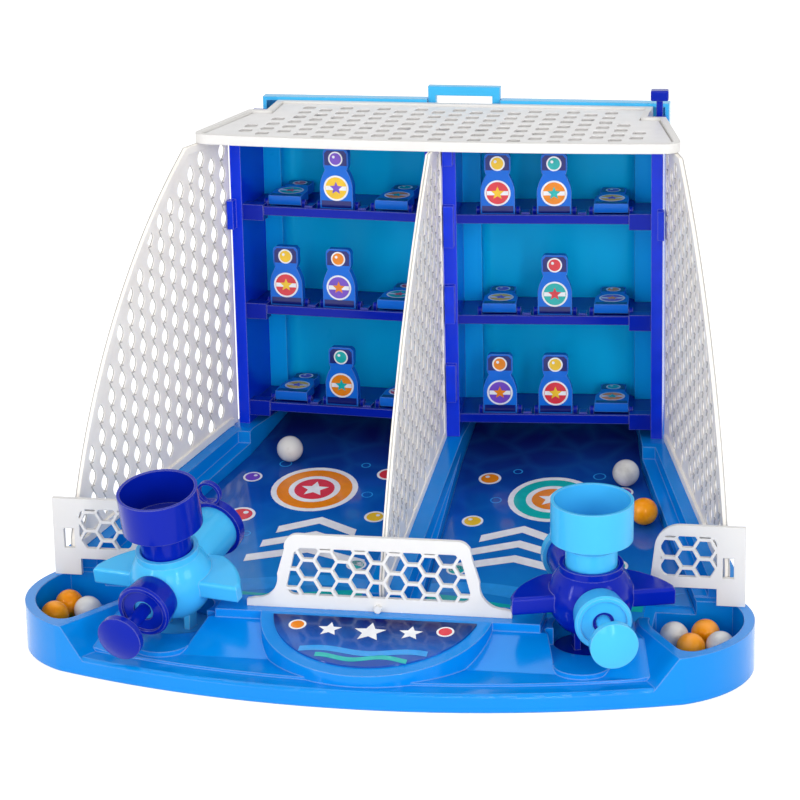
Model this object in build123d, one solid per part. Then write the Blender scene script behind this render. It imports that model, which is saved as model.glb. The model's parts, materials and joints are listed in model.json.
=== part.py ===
from build123d import *
from math import cos, floor, hypot, radians, sin, sqrt, tan
import os

# Two-player tabletop ball-shooting game. Millimetres, +Z up, +Y towards the back,
# the players sit at -Y. The origin is the middle of the footprint on the table.

# Running and seating clearances
MOVE_GAP = 0.3          # between bodies that move against each other
PIN_GAP = 0.07          # radial, hinge pin in its bore
SLIDE_GAP = 0.3         # lever in its channel
CUT = 1.0               # how far a cutting shape reaches past a face

# Ball
BALL_R = 8.2

# Base tray plan
FRONT_Y = -188.0        # front of the tray on the centre line
REAR_Y = 180.0          # rear wall of the tray
REAR_HALF = 131.0       # half width of the tray at the rear wall
COLUMN_HALF = 138.0     # half width beside the cabinet front
COLUMN_Y = 106.0
SHOULDER_HALF = 198.0   # half width where the corner trays begin
SHOULDER_Y = -62.0
CORNER_BULGE = 11.0     # widest point beyond the shoulder, on the corner trays
CORNER_HALF = SHOULDER_HALF + CORNER_BULGE
CORNER_Y = -108.0
FRONT_HALF = 176.0      # end of the long front arc
FRONT_END_Y = -156.0
CORNER_ROUND = 22.0

# Base tray heights
LEDGE_Z = 10.5          # outer front ledge
LEDGE_DEPTH = 12.0
DECK_REAR_Z = 24.0      # front deck at the fence ridge
DECK_FRONT_Z = 12.0     # front deck behind the ledge
DECK_FOOT_Y = -152.0    # foot of the deck's slope
EDGE_ROUND = 2.0
CABINET_Z = 66.0        # flat seat of the cabinet
RAIL_FALL = 0.165       # slope of the rail tops towards the player
RAIL_START_Y = 98.0
FLOOR_Z = 50.0          # lane floor at FLOOR_REF_Y
FLOOR_REF_Y = 96.0
FLOOR_FALL = 0.19       # slope of the lane floors
LANE_FRONT_Y = -98.0
LANE_REAR_Y = 149.0
LANE_INNER = 11.0       # half width of the centre ridge at the cabinet
LANE_INNER_FRONT = 18.0
LANE_OUTER = 124.0      # outer edge of a lane at LANE_SIDE_Y
LANE_SIDE_Y = 93.0
LANE_FLARE = 0.31
RAIL_STEP_W = 8.0       # ledge between lane wall and rail top
RAIL_STEP_Z = 8.0
APRON_REAR_Z = 29.0     # ridge that carries the centre fence
APRON_FRONT_Z = 17.0
APRON_HALF = 66.0
APRON_TIP_Y = -182.0
APRON_BACK_Y = -122.0
SHELL_WALL = 3.0        # wall left over the hollow underside
HOLLOW_WIDE = 0.7       # hollow under the label, as shares of the apron's half width
HOLLOW_DEEP = 0.4

CARD_T = 1.0            # printed cards and label
CARD_INSET = 0.5
CARD_FRONT_Y = -90.0
LABEL_MARGIN = 8.0

# Corner ball trays
TRAY_RIM_Z = 27.0
TRAY_FLOOR_Z = 6.0
TRAY_WALL = 6.0
TRAY_LEAN = 31.0        # inner wall's slant towards the front corner, degrees
TRAY_BEND = 30.0
TRAY_ROUND = 9.0
TRAY_BANK = 38.0        # slant of the bank between tray rim and front deck, degrees from upright

# Launcher pedestal in the tray
LAUNCHER_X = 119.0
LAUNCHER_Y = -108.0
PEDESTAL_R = 26.0
PEDESTAL_Z = 25.0
PEDESTAL_FRONT_Y = -158.0
PEDESTAL_FRONT_HALF = 16.0
SADDLE_Z = 15.0
SADDLE_BACK = 8.0       # from the swivel axis to the saddle
WELL_R = 21.0
WELL_Z = 8.0

# Cabinet
PILLAR_Y = 96.0         # front of the centre pillar
COLUMN_YAW = 4.9        # each column turns outwards by this angle
BAY_INNER = 9.5         # bay side walls, in the column's own frame
COLUMN_OUTER = 135.0
COLUMN_WALL = 7.0
BAY_OUTER = COLUMN_OUTER - COLUMN_WALL
COLUMN_DEPTH = 96.0     # before the rear is cut square
COLUMN_TOP_Z = 254.0
PILLAR_SPLIT = 0.15     # each half pillar stands this far from the centre plane
LINTEL_H = 4.0
LINTEL_D = 6.0
TAB_W = 6.2
TAB_D = 5.0
PILLAR_TABS = ((89.6, 23.9), (140.0, 24.0), (188.0, 26.0), (239.0, 12.5))  # foot and height of each
CLIP_Z = 193.6
CLIP_H = 18.1
CLIP_OUT = 1.0          # beyond the column's side
CLIP_W = 4.0
CLIP_D = 6.0

# Shelves and back panels
SHELF_COUNT = 3
SHELF_LIP_Z = 80.5      # top of the lowest front lip
SHELF_PITCH = 63.5
LIP_STAND = 2.0         # lip above the shelf floor
LIP_H = 5.5
LIP_Y = 1.5
LIP_T = 2.5
SHELF_T = 2.4
BRACKET_W = 13.5
BRACKET_H = 10.0
BRACKET_D = 8.0
BRACKET_STAND = 1.0     # bracket above the lip
PANEL_Y = 54.0
PANEL_T = 2.4
PANEL_RETURN = 10.0
PANEL_SIDE = 11.5
PANEL_ROUND = 7.0

# Flip targets
TARGET_COUNT = 3        # on each shelf
TARGET_H = 38.0
TARGET_W = 21.0
TARGET_HEAD_W = 16.0
TARGET_NECK_W = 13.6
TARGET_T = 5.7
TARGET_SHOULDER = 0.34  # of the height
TARGET_NECK = 0.6
TARGET_CHEEK = 4.2       # flare from neck to head
TARGET_BOW = 0.35        # bow of shoulder and flare
TARGET_CROWN = 3.0
TARGET_BACK = 1.2       # from hinge axis to the rear face
TARGET_FOOT = 2.0       # from hinge axis to the foot
TARGET_PITCH = 34.5
TARGET_FALL = 88.0      # degrees from standing to lying
HINGE_Y = 12.0          # hinge line behind the column front
HINGE_H = 2.8           # hinge line above the shelf floor
PIN_R = 1.2
PIN_OUT = 2.2
EAR_T = 2.6
EAR_R = 2.3
STOP_W = 5.0
STOP_H = 3.0

# Rear cover, handle and screws
COVER_REAR_Y = 188.0
COVER_HALF = 130.0
COVER_TOP_Z = 262.0
COVER_BOTTOM_Z = 4.0
COVER_WALL = 2.5
HANDLE_HALF = 23.0
HANDLE_BAR = 6.0
HANDLE_LEG = 5.0
HANDLE_TOP_Z = 270.0
HANDLE_PIVOT_Z = 247.0
HANDLE_PIVOT_Y = 185.0
HANDLE_PIN_R = 2.0
HANDLE_PIN_L = 4.0
SCREW_HEAD_R = 3.5
SCREW_HEAD_H = 1.6
SCREW_SHANK_R = 1.5
SCREW_SHANK_L = 12.0
SCREW_HOLE_GAP = 0.1
SCREW_X = 124.8
SCREW_HEIGHTS = (86.0, 162.0, 236.0)
BOSS_R = 4.9
BOSS_FLOOR = 3.0        # under a screw head
RECESS_HALF = 23.4      # handle recess in the rear cover
RECESS_Z = 241.0
CHEEK = 6.0

# Reset levers
LEVER_X = (BAY_OUTER + COLUMN_OUTER) / 2    # midway in the column's outer wall
LEVER_Y = 51.0
LEVER_W = 4.0
LEVER_D = 5.0
LEVER_FOOT_Z = 120.0
LEVER_KNOB_Z = 275.0    # top of a raised lever
LEVER_TRAVEL = 17.0
LEVER_KNOB_W = 11.0
LEVER_KNOB_D = 8.0
LEVER_KNOB_H = 6.5

# Nets
NET_T = 3.0
NET_RIM = 5.0
NET_SLOT_H = 11.6
NET_SLOT_W = 6.0
NET_ROW = 14.3
NET_COLUMN = 12.0
SIDE_NET_X = 139.0      # rear edge of a side net
SIDE_NET_Y = 103.0
SIDE_NET_FLARE = 17.4   # degrees outwards
SIDE_NET_LENGTH = 181.0
SIDE_NET_TOP = 43.0     # length of the top edge
NET_TOP_Z = 253.7
NET_FOOT_H = 10.0       # height of the front edge's lower end over the rail
SIDE_NET_BULGE = 22.0
DIVIDER_LENGTH = 201.0
DIVIDER_TOP = 38.0
DIVIDER_BULGE = 15.0

# Roof
ROOF_Z = 254.0
ROOF_T = 3.0
ROOF_RIM_H = 6.0
ROOF_RIM_W = 4.0
ROOF_FRONT_HALF = 150.0
ROOF_FRONT_Y = 72.0
ROOF_BOW = 8.0
ROOF_REAR_HALF = 120.0
ROOF_REAR_Y = 179.7
ROOF_NOTCH_Y = 149.0
ROOF_NOTCH_HALF = 131.5
ROOF_ROUND = 9.0
ROOF_SLOT_L = 8.0
ROOF_SLOT_W = 2.6
ROOF_ROW = 9.0
ROOF_COLUMN = 22.0

# Fences
FENCE_T = 3.0
HEX_FLAT = 9.8
HEX_STRUT = 1.7
FENCE_SWEEP = 9.0       # size of the fences' swept corners
FENCE_RISE = 15.0       # height of the swept feet
FENCE_CORNER = 14.5     # rounded upper corner of a side fence
CENTRE_FENCE_Y = -115.0
CENTRE_FENCE_HALF = 76.0
CENTRE_FENCE_TOP_HALF = 49.0
CENTRE_FENCE_H = 44.0
CENTRE_FENCE_FOOT = 5.0
FOOT_FALL = 1.0         # of the foot's top towards its end
FENCE_BAND = 8.0        # solid band round the honeycomb
SIDE_FENCE_BAND = 6.4
WINDOW_ROUND = 5.0
FENCE_PEG_R = 2.2
FENCE_PEG_L = 3.0
NET_END_TURN = radians(SIDE_NET_FLARE)
NET_END_Y = SIDE_NET_Y - SIDE_NET_LENGTH * cos(NET_END_TURN) - NET_T * sin(NET_END_TURN)
SIDE_FENCE_Y = floor(NET_END_Y - MOVE_GAP) - FENCE_T    # in front of the side net's end, whole millimetres
SIDE_FENCE_INNER = 148.0
SIDE_FENCE_OUTER = 202.0
SIDE_FENCE_Z = 37.0
SIDE_FENCE_H = 37.0
FENCE_FOOT_W = 16.0

# Launcher, in its own frame: hub centre at the origin, muzzle along +Y, hopper along +Z
HUB_Z = 43.5            # hub centre above the table, level launcher
HUB_R = 24.0
HUB_FLAT = 17.0         # flat under and over the hub
TILT_PIN_DROP = 22.0    # tilt pin below the hub centre
TILT_PIN_R = 2.5
LUG_W = 12.0
FORK_W = 3.6
FORK_R = 4.5
LUG_R = 4.5
TURNTABLE_T = 4.0
BORE_R = 9.0
BARREL_R = 15.0
BARREL_LENGTH = 58.0
WING_TIP = 46.0
WING_FRONT = -9.0
WING_BACK = 22.0
WING_SWEEP = (35.9, 12.1)  # point on the swept back edge
WING_Z = -5.5
WING_T = 10.5
WING_ROUND = 2.0
HOPPER_R = 23.0
HOPPER_WALL = 1.8
HOPPER_RIM_Z = 58.0
HOPPER_CUP_H = 23.0
HOPPER_CONE_H = 5.0
NECK_R = 14.5
SEAT_R = 18.0           # raised ring that holds the hopper's neck
SEAT_H = 3.0
COLLAR_R = 16.0
COLLAR_REAR_R = 14.2
COLLAR_FRONT = -37.0
COLLAR_BACK = -21.5
COLLAR_RECESS = 3.0
COLLAR_EDGE = 1.0       # bevel round the collar's front
TAIL_R = 12.8
COLLAR_HOLE_R = 6.0
END_WALL = 3.0          # wall behind the spring
ROD_R = 4.0
ROD_GAP = 0.08
PISTON_R = 8.7
PISTON_FRONT = -5.0
PISTON_L = 4.0
KNOB_R = 13.2
KNOB_FRONT = -68.0
KNOB_T = 7.0
KNOB_DOME = 3.0
KNOB_NECK = 6.0
KNOB_NECK_R = 6.8
SPRING_R = 7.6
SPRING_WIRE = 1.4
MUZZLE_R = 17.5
MUZZLE_T = 6.0
SIGHT_R = 7.5
SIGHT_WIRE = 1.6
MUZZLE_LIP = 1.0
MUZZLE_MOUTH_R = 11.5
FIT_GAP = 0.05          # between fixed round pieces

# Rest aim of each launcher: yaw to the left and pitch of the muzzle, degrees
AIM = {"left": (-13.0, 13.0), "right": (19.0, 5.0)}
SIDES = {"left": -1, "right": 1}

# Targets that stand at rest, shelf by shelf from the bottom, inner target first
STANDING = {
    "left": [(False, True, False), (False, True, True), (False, True, False)],
    "right": [(True, True, False), (False, True, False), (True, True, False)],
}
# Balls that lie on the lanes and in the trays, as (x, y)
LANE_BALLS = {
    "white_lane_left": (-96.6, 84.6), "white_lane_right": (116.5, 71.8), "orange_lane_right": (133.0, 26.5),
}
TRAY_BALLS = {
    "orange": [(-193.0, -107.0), (-190.0, -88.0), (175.0, -107.0), (181.0, -84.5)],
    "white": [(-176.0, -97.0), (191.0, -102.0), (164.0, -91.0)],
}
# Reset levers at rest
LEVER_RAISED = {"left": False, "right": True}


def prism(points, z0, z1):
    """Upright prism over a plan polygon."""
    outline = Polyline(*[(x, y, z0) for x, y in points], close=True)
    return extrude(make_face(outline), amount=z1 - z0, dir=(0, 0, 1))


def yz_prism(points, x0, x1):
    """Prism along X over a side-view polygon of (y, z) points."""
    outline = Polyline(*[(x0, y, z) for y, z in points], close=True)
    return extrude(make_face(outline), amount=x1 - x0, dir=(1, 0, 0))


def block(x0, x1, y0, y1, z0, z1):
    """Box between two corners."""
    return Pos((x0 + x1) / 2, (y0 + y1) / 2, (z0 + z1) / 2) * Box(x1 - x0, y1 - y0, z1 - z0)


def rod(radius, start, direction, length):
    """Round bar from a start point along a direction."""
    return Solid.make_cylinder(radius, length, Plane(origin=start, z_dir=direction))


def mirrored(part):
    """The same piece on the other side of the centre plane."""
    return mirror(part, about=Plane.YZ)


def rail_z(y):
    """Height of the rail tops at a depth."""
    return CABINET_Z + RAIL_FALL * min(0.0, y - RAIL_START_Y)


def floor_z(y):
    """Height of the lane floors at a depth."""
    return FLOOR_Z + FLOOR_FALL * (y - FLOOR_REF_Y)


def lane_edge(y):
    """Half width of the lanes' outer edge at a depth."""
    return LANE_OUTER + LANE_FLARE * (LANE_SIDE_Y - y)


def column_frame(side):
    """Frame of one cabinet column: pillar front, X outwards along the column's front."""
    return Pos(0, PILLAR_Y, 0) * Rot(0, 0, side * COLUMN_YAW)


def column_point(x, y):
    """Plan point of the right column in the object's frame."""
    turn = radians(COLUMN_YAW)
    return (x * cos(turn) - y * sin(turn), PILLAR_Y + x * sin(turn) + y * cos(turn))


def base_outline():
    """Plan of the tray: straight flared sides, bulged corners and a long front arc."""
    rear = (REAR_HALF, REAR_Y)
    column = (COLUMN_HALF, COLUMN_Y)
    shoulder = (SHOULDER_HALF, SHOULDER_Y)
    corner = (CORNER_HALF, CORNER_Y)
    front = (FRONT_HALF, FRONT_END_Y)
    half = [Line(rear, column), Line(column, shoulder), ThreePointArc(shoulder, corner, front)]
    other = [mirror(edge, about=Plane.YZ) for edge in half]
    ends = [
        Line((-REAR_HALF, REAR_Y), rear),
        ThreePointArc(front, (0, FRONT_Y), (-FRONT_HALF, FRONT_END_Y)),
    ]
    face = make_face(half + other + ends)
    corners = [v for v in face.vertices() if abs(v.Y - FRONT_END_Y) < 0.1]
    return fillet(corners, CORNER_ROUND)


def lane_plan(grow=0.0):
    """Plan of the right lane, from under the cabinet to its front wall."""
    inner_rear = column_point(BAY_INNER + MOVE_GAP, LANE_REAR_Y - PILLAR_Y)
    outer_rear = column_point(BAY_OUTER - PANEL_SIDE, LANE_REAR_Y - PILLAR_Y)
    return [
        (LANE_INNER - grow, inner_rear[1]),
        (outer_rear[0], outer_rear[1]),
        (lane_edge(LANE_SIDE_Y) + grow, LANE_SIDE_Y),
        (lane_edge(LANE_FRONT_Y) + grow, LANE_FRONT_Y),
        (LANE_INNER_FRONT - grow, LANE_FRONT_Y),
        (LANE_INNER - grow, LANE_SIDE_Y),
    ]


def above_slope(y0, y1, height, fall_at, half):
    """Everything over a surface that follows a height function between two depths."""
    return yz_prism([(y0, fall_at(y0)), (y1, fall_at(y1)), (y1, height), (y0, height)], -half, half)


def tray_side(inset, spread):
    """Plan right of the corner tray's bent inner wall, set in by the wall, spreading past the other sides."""
    inner = LAUNCHER_X + PEDESTAL_R + inset
    front = FRONT_Y - spread
    side = CORNER_HALF + spread
    rear = SHOULDER_Y + spread
    slant = (LAUNCHER_Y - front) * tan(radians(TRAY_LEAN))
    face = make_face(Polyline(
        (inner, rear), (inner, LAUNCHER_Y), (inner + slant, front), (side, front), (side, rear), close=True))
    bend = face.vertices().sort_by_distance((inner, LAUNCHER_Y, 0))[:1]
    return fillet(bend, TRAY_BEND)


def tray_rim(outline):
    """Raised block around the right corner tray, flush outside, with a slanted bank to the deck."""
    spread = TRAY_RIM_Z * tan(radians(TRAY_BANK))
    foot = offset(tray_side(0.0, spread), spread)
    bank = extrude(foot, amount=TRAY_RIM_Z, dir=(0, 0, 1), taper=TRAY_BANK)
    front = block(0.0, CORNER_HALF + spread, FRONT_Y - CUT, SHOULDER_Y, 0.0, TRAY_RIM_Z)
    return bank & front & extrude(outline, amount=TRAY_RIM_Z, dir=(0, 0, 1))


def tray_pocket(outline):
    """Hollow of the right corner tray, rounded at its front corner and open towards the lane's gate."""
    plan = tray_side(TRAY_WALL, 2 * TRAY_ROUND) & offset(outline, -TRAY_WALL)
    plan = offset(offset(plan, -TRAY_ROUND), TRAY_ROUND)
    hollow = extrude(Pos(0, 0, TRAY_FLOOR_Z) * plan, amount=CABINET_Z, dir=(0, 0, 1))
    return hollow & block(0.0, CORNER_HALF, FRONT_Y, SHOULDER_Y - TRAY_WALL, 0.0, 2 * CABINET_Z)


def front_deck(outline):
    """Deck between the corner trays, falling from the fence ridge to the front ledge."""
    plan = extrude(offset(outline, -LEDGE_DEPTH), amount=DECK_REAR_Z, dir=(0, 0, 1))
    slope = yz_prism([
        (FRONT_Y, 0.0), (FRONT_Y, DECK_FRONT_Z), (DECK_FOOT_Y, DECK_FRONT_Z), (APRON_BACK_Y, DECK_REAR_Z),
        (LANE_FRONT_Y, DECK_REAR_Z), (LANE_FRONT_Y, 0.0)], -CORNER_HALF, CORNER_HALF)
    return plan & slope


def apron():
    """Front apron between the launchers: fence ridge and D-shaped label platform."""
    back = APRON_BACK_Y
    tip = (0.0, APRON_TIP_Y)
    edges = [
        Line((-APRON_HALF, back), (APRON_HALF, back)),
        ThreePointArc((APRON_HALF, back), tip, (-APRON_HALF, back)),
    ]
    platform = extrude(make_face(edges), amount=APRON_REAR_Z, dir=(0, 0, 1))
    platform -= above_slope(APRON_TIP_Y - CUT, back + CUT, APRON_REAR_Z + CUT, apron_z, APRON_HALF + CUT)
    ridge_half = LAUNCHER_X - PEDESTAL_R
    ridge = block(-ridge_half, ridge_half, back, LANE_FRONT_Y, 0.0, APRON_REAR_Z)
    return platform + ridge


def apron_z(y):
    """Height of the label platform at a depth."""
    share = (y - APRON_TIP_Y) / (APRON_BACK_Y - APRON_TIP_Y)
    return APRON_FRONT_Z + share * (APRON_REAR_Z - APRON_FRONT_Z)


def pedestal_plan():
    """Plan of the right launcher pedestal: round at the swivel, a rounded tongue towards the player."""
    x = LAUNCHER_X
    half = PEDESTAL_FRONT_HALF
    nose = PEDESTAL_FRONT_Y + half
    drum = Pos(x, LAUNCHER_Y) * Circle(PEDESTAL_R)
    tongue = make_face(Polyline(
        (x - PEDESTAL_R, LAUNCHER_Y), (x + PEDESTAL_R, LAUNCHER_Y), (x + half, nose), (x - half, nose),
        close=True))
    return drum + tongue + Pos(x, nose) * Circle(half)


def pedestal():
    """Right launcher pedestal with a rounded top edge."""
    body = extrude(pedestal_plan(), amount=PEDESTAL_Z, dir=(0, 0, 1))
    return fillet(body.edges().group_by(Axis.Z)[-1], EDGE_ROUND)


def pedestal_saddle():
    """Room over the right pedestal's tongue for the collar and the knob."""
    room = extrude(Pos(0, 0, SADDLE_Z) * pedestal_plan(), amount=CABINET_Z, dir=(0, 0, 1))
    return room & block(LAUNCHER_X - PEDESTAL_R, LAUNCHER_X + PEDESTAL_R, FRONT_Y, LAUNCHER_Y - SADDLE_BACK,
                        0.0, 2 * CABINET_Z)


def pedestal_well():
    """Round well of the right pedestal."""
    return Pos(LAUNCHER_X, LAUNCHER_Y, WELL_Z) * Cylinder(
        WELL_R, CABINET_Z, align=(Align.CENTER, Align.CENTER, Align.MIN))


def underside_hollow(outline):
    """Hollow under the lanes, rails and cabinet seat, open at the bottom, with a rib on the centre plane."""
    wall = SHELL_WALL
    half = CORNER_HALF + wall
    front = LAUNCHER_Y + PEDESTAL_R + wall
    shoulder = SHOULDER_Y + wall
    hollow = extrude(Pos(0, 0, -wall) * offset(outline, -wall), amount=CABINET_Z, dir=(0, 0, 1))
    room = block(wall, half, shoulder, REAR_Y, -wall, CABINET_Z)
    room += block(wall, LAUNCHER_X + PEDESTAL_R - wall, front, shoulder, -wall, CABINET_Z)
    hollow &= room
    return hollow - above_slope(front - wall, REAR_Y, CABINET_Z + wall, lambda y: floor_z(y) - wall, half)


def apron_hollow():
    """Hollow under the fence ridge and the label platform, open at the bottom."""
    wall = SHELL_WALL
    half = LAUNCHER_X - PEDESTAL_R - wall
    ridge = block(-half, half, APRON_BACK_Y + wall, LANE_FRONT_Y - wall, -wall, APRON_REAR_Z - wall)
    narrow = APRON_HALF * HOLLOW_WIDE
    front = APRON_BACK_Y - APRON_HALF * HOLLOW_DEEP
    return ridge + block(-narrow, narrow, front, APRON_BACK_Y + wall + CUT, -wall, APRON_FRONT_Z - wall)


def lane_room():
    """Room of the right lane over its floor, with the step along its outer rail."""
    high = CABINET_Z + CUT
    lane = prism(lane_plan(), 0.0, high) & above_slope(LANE_FRONT_Y - CUT, REAR_Y, high, floor_z, CORNER_HALF)
    outer = lane_plan(RAIL_STEP_W)[2:4]
    step = prism(outer + [(LANE_INNER, LANE_FRONT_Y), (LANE_INNER, LANE_SIDE_Y)], 0.0, high)
    step_top = above_slope(LANE_FRONT_Y, LANE_SIDE_Y, high, lambda y: floor_z(y) + RAIL_STEP_Z, CORNER_HALF)
    return lane, step & step_top


def rear_deck(outline):
    """Cabinet seat, side rails and centre ridge, falling towards the players, and the lanes' front ramp."""
    half = CORNER_HALF
    over_rails = above_slope(FRONT_Y, RAIL_START_Y, CABINET_Z + CUT, rail_z, half)
    deck = extrude(outline, amount=CABINET_Z, dir=(0, 0, 1))
    deck &= block(-half, half, SHOULDER_Y, REAR_Y, 0.0, CABINET_Z)
    ridge = block(-LANE_INNER_FRONT, LANE_INNER_FRONT, LANE_FRONT_Y, SHOULDER_Y, 0.0, CABINET_Z)
    reach = LAUNCHER_X + PEDESTAL_R
    ramp = block(-reach, reach, LANE_FRONT_Y, SHOULDER_Y, 0.0, floor_z(SHOULDER_Y))
    return deck + ridge - over_rails + ramp


def base_tray():
    """One-piece moulded tray."""
    outline = base_outline()
    skirt = extrude(outline, amount=LEDGE_Z, dir=(0, 0, 1))
    skirt = fillet(skirt.edges().group_by(Axis.Z)[-1], EDGE_ROUND)
    rim = tray_rim(outline)
    tray = skirt + front_deck(outline) + rear_deck(outline) + apron() + rim + mirrored(rim)
    lane, step = lane_room()
    for room in (step, lane, tray_pocket(outline)):
        tray = tray - room - mirrored(room)
    post = pedestal()
    tray = tray + post + mirrored(post)
    for room in (pedestal_saddle(), pedestal_well(), underside_hollow(outline)):
        tray = tray - room - mirrored(room)
    return tray - apron_hollow()


def playfield_card():
    """Printed card on the right lane's floor."""
    plan = lane_plan()
    front = CARD_FRONT_Y
    inset = CARD_INSET
    shoulder = SHOULDER_Y + inset
    side = LAUNCHER_X + PEDESTAL_R - inset
    outline = [
        (plan[0][0] + inset, plan[0][1] - inset), (plan[1][0] - inset, plan[1][1] - inset),
        (plan[2][0] - inset, plan[2][1]), (lane_edge(shoulder) - inset, shoulder), (side, shoulder),
        (side, front), (LANE_INNER_FRONT + inset, front), (plan[5][0] + inset, plan[5][1]),
    ]
    high = CABINET_Z + CUT
    card = prism(outline, 0.0, CABINET_Z) & above_slope(LANE_FRONT_Y, REAR_Y, high, floor_z, CORNER_HALF)
    card -= above_slope(LANE_FRONT_Y, REAR_Y, high, lambda y: floor_z(y) + CARD_T, CORNER_HALF)
    return card - Pos(LAUNCHER_X, LAUNCHER_Y) * Cylinder(PEDESTAL_R + MOVE_GAP, 4 * CABINET_Z)


def front_label():
    """D-shaped label on the sloping apron."""
    half = APRON_HALF - LABEL_MARGIN
    back = APRON_BACK_Y - LABEL_MARGIN / 2
    tip = (0.0, APRON_TIP_Y + LABEL_MARGIN)
    edges = [Line((-half, back), (half, back)), ThreePointArc((half, back), tip, (-half, back))]
    plate = extrude(make_face(edges), amount=CABINET_Z, dir=(0, 0, 1))
    over = above_slope(APRON_TIP_Y, APRON_BACK_Y, CABINET_Z + CUT, apron_z, APRON_HALF)
    top = above_slope(APRON_TIP_Y, APRON_BACK_Y, CABINET_Z + CUT, lambda y: apron_z(y) + CARD_T, APRON_HALF)
    return (plate & over) - top


def shelf_lip(level):
    """Height of a shelf's front lip, counted from the bottom."""
    return SHELF_LIP_Z + level * SHELF_PITCH


def shelf_floor(level):
    """Height of a shelf's floor."""
    return shelf_lip(level) - LIP_STAND


def target_x(place):
    """Place of a target along its shelf, inner target first, in the column's frame."""
    return (BAY_INNER + BAY_OUTER) / 2 + (place - (TARGET_COUNT - 1) / 2) * TARGET_PITCH


def screw_spots():
    """Screw axes on the right side, as (x, z)."""
    return [(SCREW_X, z) for z in SCREW_HEIGHTS]


def lever_channel(top):
    """Channel for a reset lever's bar and the notch for its knob, in the column's frame."""
    half_x = LEVER_W / 2 + SLIDE_GAP
    half_y = LEVER_D / 2 + SLIDE_GAP
    foot = LEVER_FOOT_Z - LEVER_TRAVEL - SLIDE_GAP
    bar = block(LEVER_X - half_x, LEVER_X + half_x, LEVER_Y - half_y, LEVER_Y + half_y, foot, top + CUT)
    knob_y = LEVER_KNOB_D / 2 + SLIDE_GAP
    low = LEVER_KNOB_Z - LEVER_TRAVEL - LEVER_KNOB_H - SLIDE_GAP
    knob = block(BAY_OUTER - CUT, COLUMN_OUTER + CUT, LEVER_Y - knob_y, LEVER_Y + knob_y, low, top + CUT)
    return bar + knob


def cabinet_column():
    """Right half of the cabinet: tapered half pillar, outer wall, lintels, clip tabs and lever channel."""
    low = CABINET_Z
    top = COLUMN_TOP_Z
    inner = [(PILLAR_SPLIT, PILLAR_Y), column_point(BAY_INNER, 0), column_point(BAY_INNER, COLUMN_DEPTH)]
    inner.append((PILLAR_SPLIT, inner[2][1]))
    side = block(BAY_OUTER, COLUMN_OUTER, 0.0, COLUMN_DEPTH, low, top)
    side += block(BAY_INNER, BAY_OUTER, 0.0, LINTEL_D, top - LINTEL_H, top)
    side -= lever_channel(top)
    tab = NET_T / 2 + MOVE_GAP
    for foot_z, tall in PILLAR_TABS:
        side += block(tab, tab + TAB_W, -TAB_D, 0.0, foot_z, foot_z + tall)
    clip = COLUMN_OUTER + CLIP_OUT
    side += block(clip - CLIP_W, clip, -CLIP_D, 0.0, CLIP_Z, CLIP_Z + CLIP_H)
    column = prism(inner, low, top) + column_frame(1) * side
    strip = column_point(BAY_OUTER, COLUMN_DEPTH)[0]
    column += block(PILLAR_SPLIT, strip, REAR_Y - LINTEL_D, REAR_Y, top - LINTEL_H, top)
    column -= block(-CUT, 2 * COLUMN_OUTER, REAR_Y, 2 * REAR_Y, low - CUT, top + CUT)
    for x, z in screw_spots():
        column -= rod(SCREW_SHANK_R + SCREW_HOLE_GAP, (x, REAR_Y + CUT, z), (0, -1, 0), SCREW_SHANK_L)
    return column


def shelf_plan():
    """Plan of a shelf in the column's frame, notched and rounded to clear the back panel's returns."""
    side = PANEL_SIDE + MOVE_GAP
    notch = PANEL_Y - PANEL_RETURN - MOVE_GAP
    rear = PANEL_Y - MOVE_GAP
    x0 = BAY_INNER
    x1 = BAY_OUTER
    plan = make_face(Polyline(
        (x0, LIP_Y), (x1, LIP_Y), (x1, notch), (x1 - side, notch), (x1 - side, rear),
        (x0 + side, rear), (x0 + side, notch), (x0, notch), close=True))
    corners = [v for v in plan.vertices() if v.Y > rear - 0.1]
    return fillet(corners, PANEL_ROUND - MOVE_GAP)


def hinge_ear(x, floor):
    """Hinge ear on a shelf floor, bored for a target's stub pin; x is its lower side."""
    axis_z = floor + HINGE_H
    ear = block(x, x + EAR_T, HINGE_Y - EAR_R, HINGE_Y + EAR_R, floor, axis_z)
    ear += rod(EAR_R, (x, HINGE_Y, axis_z), (1, 0, 0), EAR_T)
    return ear - rod(PIN_R + PIN_GAP, (x - CUT, HINGE_Y, axis_z), (1, 0, 0), EAR_T + 2 * CUT)


def shelf(level):
    """One target shelf of the right column, in the column's frame."""
    floor = shelf_floor(level)
    lip = shelf_lip(level)
    x1 = BAY_OUTER
    plate = extrude(Pos(0, 0, floor - SHELF_T) * shelf_plan(), amount=SHELF_T, dir=(0, 0, 1))
    plate += block(BAY_INNER, x1, LIP_Y, LIP_Y + LIP_T, lip - LIP_H, lip)
    bracket = lip + BRACKET_STAND
    plate += block(x1 - BRACKET_W, x1, LIP_Y / 2, LIP_Y + BRACKET_D, bracket - BRACKET_H, bracket)
    reach = TARGET_W / 2 + MOVE_GAP
    for place in range(TARGET_COUNT):
        x = target_x(place)
        plate += hinge_ear(x - reach - EAR_T, floor) + hinge_ear(x + reach, floor)
    for place in range(TARGET_COUNT - 1):
        x = target_x(place) + TARGET_PITCH / 2
        plate += block(x - STOP_W / 2, x + STOP_W / 2, LIP_Y + LIP_T, HINGE_Y, floor, floor + STOP_H)
    return plate


def shelves():
    """The three shelves of the right column."""
    return column_frame(1) * Compound(children=[shelf(level) for level in range(SHELF_COUNT)])


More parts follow.
